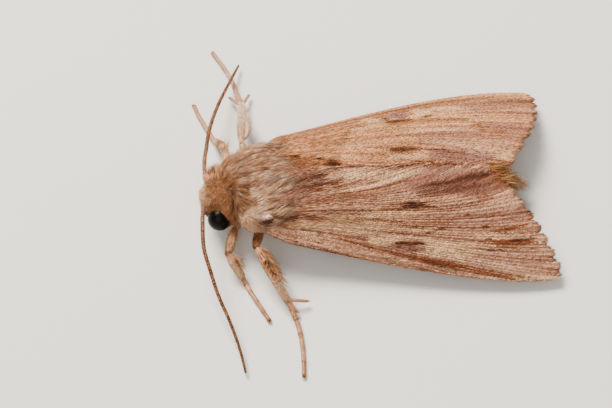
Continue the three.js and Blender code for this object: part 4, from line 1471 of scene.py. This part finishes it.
def worn_spot():
    rng = np.random.default_rng(425)
    off = (ROOT_PLACE[:, :2] - WORN["at"]) / WORN["half"]
    bare = np.flatnonzero((np.hypot(*off.T) < 1) & (ROOT_PLACE[:, 2] > UPPER_SIDE))[: WORN["count"]]
    place, normal, off = ROOT_PLACE[bare], ROOT_NORMAL[bare], off[bare]
    count = len(place)
    lie = unit(np.array((1.0, -0.15, 0.0)) + rng.normal(0, 0.25, (count, 3)))
    lift = WORN["above"] * (1 - 0.5 * np.hypot(*off.T))[:, None]
    shapes = kites(place + normal * lift, normal, lie, 0.30, 0.16, rng.uniform(0.0, 0.12, count))
    # Painted light: the plates' upper side is painted pale as a highlight, their lower side dark as shade.
    across = off[:, 1]
    values = {
        "chance": 0.5 + 0.5 * across,
        "dark": 0.85 * smoothstep(0.1, -0.3, across),
        "pale": smoothstep(0.2, 0.7, across),
    }
    shingles("shoulder_plates", shapes, plate_paint, "body_fur", ROOT_UV[bare], values)


plate_paint = scale_paint(
    "shoulder_plate_pink", ("#7A3C2C", "#C4826C", "#F6C4B0"), "#34140C", "#8A4A34", "#FFDCCC", "#A8786C",
    roughness=0.3,
)
worn_spot()

# %% [markdown]
# The wing roots are hairy too, so that the thorax runs into the wings without an edge. These hairs grow
# on the wing's own surface and lie almost flat.

# %% Hair on the wing roots
def root_hair(name, side, count, seed):
    rng = np.random.default_rng(seed)
    u = 0.03 + 0.36 * rng.random(count) ** 1.9
    v = rng.uniform(0.25, 0.995, count)
    point, normal, along = wing_frame(u, v, side)
    values = wing_masks(u + 0.02, v, side, rng)
    lie = unit(along + rng.normal(0, 0.12, (count, 3)))
    length = rng.uniform(0.6, 1.1, count)
    lift = 0.10 + rng.uniform(0, 0.10, count)
    shapes = blades(point - normal * ROOT_SINK, normal, lie, length, 0.045, lift, 0.2)
    coat(f"forewing_root_hair_{name}", shapes, WING_PAINT[side], "forewing_scales", wing_map(u, v), values)


for seed, (name, side) in enumerate(SIDES.items()):
    root_hair(name, side, 3600, 430 + seed)

# %% [markdown]
# ## Eyes
# A moth's eye is a dome of thousands of tiny lenses. At this size they give a deep, dark gloss with a
# faint grain, so they are a bump in the material: cells of 0.03 mm, drawn twice as coarse.

# %% Eyes
FACET_MM = 0.06


def eye_facets():
    material, tree = new_material("eye_lens_brown")
    place = add(tree, "ShaderNodeTexCoord").outputs["Object"]
    cells = add(tree, "ShaderNodeTexVoronoi", {"Vector": place, "Scale": 1 / (FACET_MM * MM)}, feature="F1")
    relief = {"Height": cells.outputs["Distance"], "Strength": 0.35, "Distance": 0.01 * MM}
    bump = add(tree, "ShaderNodeBump", relief, invert=True)
    drift = add(tree, "ShaderNodeTexNoise", {"Vector": place, "Scale": 1 / (0.5 * MM)})
    ramp = add(tree, "ShaderNodeValToRGB", {"Fac": drift.outputs["Fac"]})
    ramp.color_ramp.elements[0].color = linear("#040302")
    ramp.color_ramp.elements[1].color = linear("#0C0806")
    shader = add(
        tree,
        "ShaderNodeBsdfPrincipled",
        {
            "Base Color": ramp.outputs["Color"],
            "Roughness": 0.32,
            "Normal": bump.outputs[0],
            "IOR": 1.5,
            "Specular IOR Level": 0.09,
        },
    )
    add(tree, "ShaderNodeOutputMaterial", {"Surface": shader.outputs[0]})
    return material


lens = eye_facets()
for name, side in SIDES.items():
    bpy.ops.object.select_all(action="DESELECT")
    middle = metres(np.array(EYE["at"]) * (1, side, 1))
    bpy.ops.mesh.primitive_ico_sphere_add(
        subdivisions=5, radius=0.5, location=middle, scale=np.array(EYE["size"]) * MM
    )
    bpy.ops.object.transform_apply(location=True, rotation=True, scale=True)
    eye = bpy.context.object
    eye.name = eye.data.name = f"eye_dome_{name}"
    eye.data.shade_smooth()
    dress(eye, lens, "eye_glaze", f"eye_{name}")
    print(eye.name, "of", EYE["size"], "mm")

# %% [markdown]
# Fine hair from the crown and the collar falls over the rear and upper rim of each eye, so the dome looks out
# of the fur instead of standing on it. The hairs start just outside the rim and lie on the dome.

# %% Hair over the rim of the eyes
EYE_RIM = {
    "upward": (0.80, 0.46, 0.38),
    "outward": (-0.06, -0.60, 0.80),
    "spread": (-4, 30),  # degrees round the rim, middle and spread
    "height": (-8, 4),  # degrees over the rim
}


def rim_hair(name, side, count, seed):
    rng = np.random.default_rng(seed)
    mirror = np.array((1, -side, 1))
    middle = np.array(EYE["at"]) * (1, side, 1)
    out = unit(np.array(EYE_RIM["outward"]) * mirror)
    up = np.array(EYE_RIM["upward"]) * mirror
    up = unit(up - out * np.dot(up, out))
    round_rim = np.cross(out, up)
    angle = np.radians(rng.normal(*EYE_RIM["spread"], count).clip(-80, 85))[:, None]
    rim = np.cos(angle) * up + np.sin(angle) * round_rim * side * -1
    height = np.radians(rng.uniform(*EYE_RIM["height"], count))[:, None]
    normal = np.cos(height) * rim + np.sin(height) * out
    place = middle + normal * (np.array(EYE["size"]) / 2 + 0.02)
    lie = unit(np.cos(height) * out - np.sin(height) * rim + rng.normal(0, 0.12, (count, 3)) + (-0.25, 0, 0))
    length = rng.uniform(0.12, 0.26, count)
    lift = 0.04 + rng.uniform(0, 0.25, count)
    shapes = blades(place, normal, lie, length, 0.030, lift, 0.72)
    # Their dark is partly painted shade, at the rim under the overhanging fur.
    values = {
        "chance": rng.normal(0.5, 0.25, count).clip(0, 1),
        "rust": rng.uniform(0.2, 0.5, count),
        "dark": rng.uniform(0.2, 0.6, count),
    }
    root_uv = np.concatenate([0.5 + angle / 3.2, 0.2 + height], 1)
    coat(f"eye_rim_hair_{name}", shapes, fur_paint, "body_fur", root_uv, values)


for seed, (name, side) in enumerate(SIDES.items()):
    rim_hair(name, side, 800, 440 + seed)

# %% [markdown]
# ## Feelers and tongue
# A feeler is a thread of some sixty beads on a thicker first joint. It thins evenly to its tip. It could be
# modelled bead by bead, but a curve whose radius swells and shrinks gives the same beads in one smooth skin.

# %% Feelers
ANTENNA = {
    "left": [
        (1.15, -0.75, 3.2), (0.62, -1.35, 3.42), (0.42, -2.7, 3.28), (0.36, -4.45, 2.9), (0.65, -6, 2.45),
        (1.05, -7.75, 1.9), (1.58, -9.3, 1.4), (2, -10.7, 0.95), (2.3, -12.1, 0.6), (2.45, -13.3, 0.42),
    ],
    "right": [
        (1.15, 0.75, 3.2), (0.95, 1.5, 3.4), (1.0, 2.6, 3.35), (1.24, 3.9, 3.1), (1.5, 5.3, 2.8),
        (1.95, 6.9, 2.4), (2.5, 8.5, 1.9), (3.15, 10.1, 1.35), (3.75, 11.5, 0.85), (4.3, 12.7, 0.5),
    ],
}
BEADS, POINTS_PER_BEAD = 64, 4
feeler_cuticle = chitin("feeler_cuticle_brown", "#5E3C2A", "#96705A", 0.08, 0.02, 0.45)
feeler_paint = scale_paint(
    "feeler_scales_tan", ("#542C14", "#925C36", "#C88E5E"), "#341808", "#8A4E24", "#E8BC92", "#8E6E58"
)


def antenna(name, points):
    count = BEADS * POINTS_PER_BEAD + 1
    path = smooth_path(points, count)
    t = np.linspace(0, 1, count)
    thin = 0.10 * (1 - t) ** 0.5 + 0.058
    bead = 1 + 0.10 * np.cos(2 * np.pi * BEADS * t)
    scape = 0.10 * np.exp(-((t / 0.03) ** 2))
    radii = (thin * bead + scape) * np.sqrt(np.clip((1 - t) / 0.01, 0.05, 1))
    dress(rods(f"feeler_{name}", [(path, radii)], sides=2), feeler_cuticle, "feeler_horn", f"antenna_{name}")
    print("feeler", name, "of", BEADS, "beads")
    return path, radii

# %% [markdown]
# Scales on a round limb have their roots strewn along it and about it. The same function serves the legs.
# The feeler's scales lie in rings, one to a bead, and its first joint bears a tuft.

# %% Scales on the feelers
def strew_limb(path, radii, count, rng, above=None):
    """Roots on a round limb: place, normal, lie and share along it."""
    steps = np.linalg.norm(np.diff(path, axis=0), axis=1)
    reach = np.append(0, np.cumsum(steps))
    s = rng.uniform(0, reach[-1], count)
    place, ahead, behind = (
        np.stack([np.interp(at, reach, path[:, k]) for k in range(3)], 1)
        for at in (s, np.minimum(s + 0.05, reach[-1]), np.maximum(s - 0.05, 0))
    )
    along = unit(ahead - behind)
    any_way = unit(rng.normal(0, 1, (count, 3)))
    normal = unit(any_way - along * np.sum(any_way * along, 1, keepdims=True))
    if above is not None:
        normal = unit(normal + np.array(above))
        normal = unit(normal - along * np.sum(normal * along, 1, keepdims=True))
    radius = np.interp(s, reach, radii)
    angle = np.arctan2(normal[:, 1], normal[:, 2]) / (2 * np.pi) + 0.5
    return place + normal * radius[:, None], normal, along, s / reach[-1], angle


SCAPE_HAIR = {"points": 16, "count": 420, "length": (0.28, 0.5)}  # on the feeler's hairy first joint


def limb_map(t, angle, low=0.02, high=0.97):
    """The place on the bake map: t along the limb, angle about it, in a band from low to high."""
    return np.stack([0.02 + 0.95 * t, low + (high - low) * angle], 1)


def feeler_scales(name, path, radii, seed):
    rng = np.random.default_rng(seed)
    count = 2400
    place, normal, along, t, angle = strew_limb(path, radii, count, rng, above=(0, 0, 0.7))
    ring = np.cos(2 * np.pi * BEADS * t)
    values = {
        "chance": np.clip(0.45 + 0.25 * ring + rng.normal(0, 0.15, count), 0, 1),
        "dark": 0.45 * (ring < -0.4),
        "pale": 0.5 * smoothstep(0.25, 0.0, t),
    }
    shapes = kites(place, normal, along, 0.17, 0.06, rng.uniform(0.03, 0.15, count))
    shingles(f"feeler_scales_{name}", shapes, feeler_paint, "feeler_horn", limb_map(t, angle), values)
    first, count = SCAPE_HAIR["points"], SCAPE_HAIR["count"]
    scape = strew_limb(path[:first], radii[:first] * 0.6, count, rng, above=(0, 0, 0.6))
    place, normal, along, t, angle = scape
    lie = unit(along + rng.normal(0, 0.2, (count, 3)))
    length = rng.uniform(*SCAPE_HAIR["length"], count)
    shapes = blades(place, normal, lie, length, 0.034, 0.35 + rng.uniform(0, 0.3, count), 0.5)
    values = {"chance": rng.uniform(0.2, 0.9, count), "rust": 0.55, "dark": 0.4 * (rng.random(count) < 0.2)}
    coat(f"feeler_tuft_{name}", shapes, fur_paint, "feeler_horn", limb_map(t, angle), values)


for seed, (name, points) in enumerate(ANTENNA.items()):
    feeler_scales(name, *antenna(name, points), 500 + seed)

# %% [markdown]
# The tongue is a long tube that a resting moth keeps rolled up, like a watch spring, between its palps.

# %% Tongue
TONGUE = {"at": (1.35, 0.0, 1.1), "inner": 0.1, "radius": 0.36, "turns": 3.25, "thickness": (0.035, 0.03)}


def tongue():
    turn = np.linspace(0, 1, 90)
    reach = TONGUE["inner"] + (TONGUE["radius"] - TONGUE["inner"]) * turn
    angle = 2 * np.pi * TONGUE["turns"] * turn + 0.5 * math.pi
    path = np.stack([reach * np.cos(angle), 0 * turn, reach * np.sin(angle)], 1) + TONGUE["at"]
    thin, thicker = TONGUE["thickness"]
    coil = rods("tongue_coil", [(path, thin + thicker * turn)], sides=2)
    dress(coil, feeler_cuticle, "feeler_horn", "tongue")
    print("tongue of", TONGUE["turns"], "turns")


tongue()

# %% [markdown]
# ## Legs
# Each leg has a short coxa against the body, a femur, a tibia with spurs, and a tarsus of five joints that
# ends in two claws. Where a leg stands is given joint by joint, and every foot's middle line runs level, half a
# foot's thickness over the floor.

# %% The stance of the legs
FOOT_HEIGHT = 0.21  # of a foot's middle line over the floor


def feet(*places):
    return [(*place, FOOT_HEIGHT) if len(place) == 2 else place for place in places]


LEGS = {
    "fore_left": {
        "joints": [(3.4, -0.95, 1.8), (2.75, -1.75, 0.95), (2.05, -4.35, 1.75), (2.85, -5.6, 0.65)],
        "foot": feet((3.2, -6.25), (3.6, -7.2), (4.05, -8.2), (4.5, -9.2)),
    },
    "fore_right": {
        "joints": [(3.4, 0.95, 1.8), (2.8, 1.75, 0.95), (2.6, 4.5, 1.75), (2.1, 5.9, 0.65)],
        "foot": feet((1.8, 6.6), (1.4, 7.6), (1.0, 8.6), (0.7, 9.6)),
    },
    "mid_left": {
        "joints": [(5.1, -0.9, 1.5), (4.65, -1.75, 0.9), (4.05, -4.25, 2.3), (6.0, -8.3, 0.85)],
        "foot": feet((6.45, -9.7, 0.36), (6.62, -11.1), (6.6, -12.5), (6.5, -13.9)),
        "spurs": [(7.5, -8.15, 0.5), (6.62, -8.95, 0.42)],
    },
    "mid_right": {
        "joints": [(5.1, 0.9, 1.5), (4.55, 1.75, 0.9), (3.85, 4.65, 2.3), (4.2, 9.0, 0.85)],
        "foot": feet((3.95, 10.35, 0.36), (3.7, 11.6), (3.2, 12.9), (2.5, 14.3)),
        "spurs": [(4.9, 10.1, 0.42), (3.35, 9.95, 0.45)],
    },
}
for name, side in SIDES.items():
    hip, trochanter = (7.1, 0.9 * side, 1.4), (7.3, 1.7 * side, 0.95)
    knee, ankle = (9.1, 3.9 * side, 1.6), (14.0, 4.95 * side, 0.68)
    LEGS[f"hind_{name}"] = {
        "joints": [hip, trochanter, knee, ankle],
        "foot": feet((15.6, 5.25 * side, 0.3), (17.2, 5.45 * side), (18.8, 5.55 * side), (20.2, 5.55 * side)),
        "spurs": [(14.6, 4.2 * side, 0.45), (14.9, 5.75 * side, 0.42)],
    }
print(len(LEGS), "legs")

# %% [markdown]
# A leg's joints are spindles, each closed at both ends. The foot's five joints widen towards their ends, and
# the last bears two curved claws. Each is a path and its radii, so that scales can be strewn on it later.

# %% The shapes of a leg
RADII = {
    "coxa": (0.4, 0.44, 0.3),
    "femur": (0.22, 0.35, 0.32, 0.22),
    "tibia": (0.23, 0.35, 0.33, 0.29, 0.26),
    "spur": (0.11, 0.13, 0.12, 0.115),
}
TARSUS_RADIUS, TARSUS_THINNING, TARSUS_JOINTS, TARSUS_POINTS = 0.21, 0.05, 5, 76
leg_cuticle = chitin("leg_cuticle_tan", "#8A5634", "#C08A60", 0.1, 0.02, 0.5)


def tarsus_shape(leg):
    """Path and radii of the five joints of a foot: each widens to its end and is pinched before the next."""
    ankle = leg["joints"][3]
    path = smooth_path([ankle, *leg["foot"]], TARSUS_POINTS)
    t = np.linspace(0, 1, TARSUS_POINTS)
    joint = (t * TARSUS_JOINTS) % 1
    radii = (TARSUS_RADIUS - TARSUS_THINNING * t) * (0.86 + 0.14 * joint**1.5)
    radii[0] = radii[-1] = 0.02
    return path, radii


def limb_shapes(leg):
    hip, trochanter, knee, ankle = (np.array(joint) for joint in leg["joints"])
    shapes = {
        "coxa": (np.linspace(hip, trochanter, 14), spindle_radii(RADII["coxa"], 14)),
        "femur": (np.linspace(trochanter, knee, 22), spindle_radii(RADII["femur"], 22)),
        "tibia": (np.linspace(knee, ankle, 24), spindle_radii(RADII["tibia"], 24)),
        "tarsus": tarsus_shape(leg),
    }
    for i, tip in enumerate(leg.get("spurs", ())):
        root = ankle + (knee - ankle) * 0.05
        shapes[f"spur_{i}"] = (np.linspace(root, tip, 12), spindle_radii(RADII["spur"], 12))
    return shapes


def claws(leg):
    toe, before = np.array(leg["foot"][-1]), np.array(leg["foot"][-2])
    ahead = unit(toe - before)
    side = np.cross(ahead, (0, 0, 1))
    strands = []
    for way in (-1, 1):
        bend = toe + ahead * 0.08 + side * way * 0.10 + (0, 0, 0.03)
        tip = toe + ahead * 0.2 + side * way * 0.14 - (0, 0, 0.13)
        path = smooth_path([toe - ahead * 0.1, bend, tip], 10)
        strands.append((path, np.linspace(0.05, 0.012, 10)))
    return strands


print("foot", 2 * TARSUS_RADIUS, "mm thick at the ankle")

# %% [markdown]
# The legs differ in colour: the left middle one is orange and hatched with dark strokes, the right one cream.
# That difference is partly painted light: the left one's paint is darker, as shaded, the right one's paler, as lit.
# The foot's joints are ringed, dark at their roots and pale at their ends.

# %% Paint and plan of the legs' scales
LEG_GROUND = {
    "fore": ("leg_scales_tan", ("#7A4A28", "#BE8A5E", "#F0C69C")),
    "mid_left": ("leg_scales_shaded_orange_tan", ("#4E2610", "#A0623A", "#E6A878")),
    "mid_right": ("leg_scales_lit_cream", ("#A88260", "#EAC8A0", "#FFEED8")),
    "hind": ("leg_scales_buff", ("#7A5232", "#BE9268", "#ECC8A0")),
}
LEG_PAINT = {
    which: scale_paint(name, ground, "#42200A", "#9A5626", "#F8CCA0", "#9A7A66")
    for which, (name, ground) in LEG_GROUND.items()
}
HATCH = {"fore": 0.4, "mid_left": 0.9, "mid_right": 0.1, "hind": 0.5}  # how dark the strokes on the shank are
LEG_SCALES = {  # how many on each part, their length and their lift
    "coxa": (200, 0.36, 0.08),
    "femur": (700, 0.36, 0.08),
    "tibia": (1500, 0.36, 0.08),
    "tarsus": (1400, 0.22, 0.05),
    "spur_0": (120, 0.13, 0.05),
    "spur_1": (120, 0.13, 0.05),
}
SCALE_SINK = 0.015
SOLE_CLEARANCE, FLOOR_GAP = 0.03, 0.004  # no scale grows below the first, and none reaches below the second
MAP_ROWS = 6.2  # rows of a leg's bake map, one to a part, and their margin


def of_leg(table, name):
    """A leg's own entry in a table, or its pair's."""
    return table[name if name in table else name[:4]]


def leg_row(t, angle, row):
    return limb_map(t, angle, (row + 0.1) / MAP_ROWS, (row + 0.9) / MAP_ROWS)


print(sum(number for number, _, _ in LEG_SCALES.values()), "scales on a leg with two spurs")

# %% [markdown]
# A leg's part, and how far along it and about it a scale grows, give the scale's colour.

# %% Scales on the legs
def leg_marking(part, t, angle, row, hatching, rng):
    """Chance, dark, pale and rust of the scales on one part of a leg."""
    shank, foot = part == "tibia", part == "tarsus"
    joint = (t * TARSUS_JOINTS) % 1 if foot else np.full(len(t), 0.5)
    hatch = soft_noise(t * 2 + 10, angle * 11 + row * 40, 61)
    strokes = hatching * smoothstep(0.44, 0.34, hatch) * shank * smoothstep(0.65, 0.35, t)
    chance = np.clip(0.5 + 1.5 * (hatch - 0.5) + rng.normal(0, 0.12, len(t)), 0, 1)
    dark = 0.28 * (joint < 0.18) * foot + strokes
    pale = 0.35 * (joint > 0.82) + 0.5 * smoothstep(0.4, 0.7, t) * shank + 0.5 * t * part.startswith("spur")
    rust = 0.2 + 0 * t
    if shank:
        rust = 0.75 * smoothstep(0.45, 0.0, t)
    if foot:
        rust = 0.40 + 0.4 * smoothstep(0.55, 1.0, t)
    return np.stack([chance, dark, pale, rust])


def leg_coat(name, shapes, seed):
    rng = np.random.default_rng(seed)
    groups, uvs, masks = [], [], []
    for row, (part, (path, radii)) in enumerate(shapes.items()):
        number, length, lift = LEG_SCALES[part]
        roots = strew_limb(path, radii, number, rng)
        keep = roots[0][:, 2] > SOLE_CLEARANCE
        place, normal, along, t, angle = (array[keep] for array in roots)
        count = len(place)
        lie = unit(along + rng.normal(0, 0.08, (count, 3)))
        length, width = length * rng.uniform(0.7, 1.2, count), rng.uniform(0.04, 0.07, count)
        lift = lift * rng.uniform(0.3, 2.0, count)
        groups.append(kites(place - normal * SCALE_SINK, normal, lie, length, width, lift))
        uvs.append(leg_row(t, angle, row))
        masks.append(leg_marking(part, t, angle, row, of_leg(HATCH, name), rng))
    chance, dark, pale, rust = np.concatenate(masks, 1)
    scales = np.concatenate(groups)
    scales[..., 2] = np.maximum(scales[..., 2], FLOOR_GAP)
    values = {"chance": chance, "dark": dark, "pale": pale, "rust": rust}
    paint = of_leg(LEG_PAINT, name)
    shingles(f"leg_scales_{name}", scales, paint, "leg_scales", np.concatenate(uvs), values)

# %% [markdown]
# A comb of fine hair stands off the shank's rear edge, thick on the middle and hind legs, and the thigh has
# looser hair all round.

# %% Hair on the legs
COMB_HAIRS = {"fore": 24, "mid_left": 320, "mid_right": 320, "hind": 220}
THIGH_HAIRS, LEG_HAIR_WIDTH = 260, 0.048


def leg_hair(name, shapes, seed):
    rng = np.random.default_rng(seed)
    groups, uvs, chances = [], [], []
    for part, row, count, behind, length, stand in (
        ("tibia", 2, of_leg(COMB_HAIRS, name), (3.0, 0, 0.9), 1.05, 0.72),
        ("femur", 1, THIGH_HAIRS, (0.3, 0, 0.3), 0.42, 0.5),
    ):
        path, radii = shapes[part]
        roots = strew_limb(path, radii * 0.85, count * 2, rng, above=behind)
        keep = rng.random(count * 2) < (smoothstep(0.75, 0.15, roots[3]) if part == "tibia" else 0.5)
        place, normal, along, t, angle = (array[keep] for array in roots)
        count = len(place)
        lie = unit(along + (0.25, 0, 0) + rng.normal(0, 0.10, (count, 3)))
        hair_length = length * rng.uniform(0.7, 1.2, count) * (1 - 0.3 * t)
        lift = stand * rng.uniform(0.6, 1.1, count)
        groups.append(blades(place, normal, lie, hair_length, LEG_HAIR_WIDTH, lift, 0.3))
        uvs.append(leg_row(t, angle, row))
        chances.append(rng.uniform(0.4, 1.0, count))
    chance, hairs = np.concatenate(chances), np.concatenate(groups)
    hairs[..., 2] = np.maximum(hairs[..., 2], FLOOR_GAP)
    values = {"chance": chance, "pale": 0.2 * chance, "rust": 0.6 * (1 - chance)}
    paint = of_leg(LEG_PAINT, name)
    coat(f"leg_hair_{name}", hairs, paint, "leg_scales", np.concatenate(uvs), values)


for seed, (name, leg) in enumerate(LEGS.items()):
    shapes = limb_shapes(leg)
    solids = [f"leg_{name}_{part}" for part in ("coxa", "femur", "tibia", "tarsus")]
    dress(rods(f"leg_{name}", [*shapes.values(), *claws(leg)]), leg_cuticle, "leg_scales", *solids)
    leg_coat(name, shapes, 600 + seed)
    leg_hair(name, shapes, 650 + seed)

# %% [markdown]
# ## Floor and light
# The floor is plain and pale. One wide lamp stands for an overcast sky, above the moth and on its far side, and
# a weak one fills the side that faces the camera.

# %% Floor, lamps and sky
bpy.ops.object.select_all(action="DESELECT")
bpy.ops.mesh.primitive_plane_add(size=1.2)
floor = bpy.context.object
floor.name = "floor"
floor_card, tree = new_material("floor_pale_card")
shader = add(tree, "ShaderNodeBsdfPrincipled", {"Base Color": linear("#E4E0DA"), "Roughness": 0.9})
add(tree, "ShaderNodeOutputMaterial", {"Surface": shader.outputs[0]})
floor.data.materials.append(floor_card)
LIT_POINT = (8, 0, 2)


def lamp(name, azimuth, elevation, distance, size, watts, colour):
    azimuth, elevation = math.radians(azimuth), math.radians(elevation)
    data = bpy.data.lights.new(name, "AREA")
    data.energy, data.size, data.color = watts, size, colour
    light = placed(name, data)
    light.location = metres(LIT_POINT) + direction(azimuth, elevation) * distance
    light.rotation_euler = (math.pi / 2 - elevation, 0, azimuth)
    print(name, watts, "W")


lamp("sky lamp", -152, 52, 0.35, 0.16, 3.3, (1.0, 0.955, 0.89))
lamp("fill lamp", -20, 45, 0.40, 0.30, 0.7, (1.0, 0.97, 0.93))
world = bpy.data.worlds.new("soft sky")
bpy.context.scene.world = world
world.use_nodes = True
sky = world.node_tree.nodes["Background"].inputs
sky["Color"].default_value, sky["Strength"].default_value = (1.0, 0.98, 0.95, 1), 0.55

# %% [markdown]

# %% json, imported again
import json
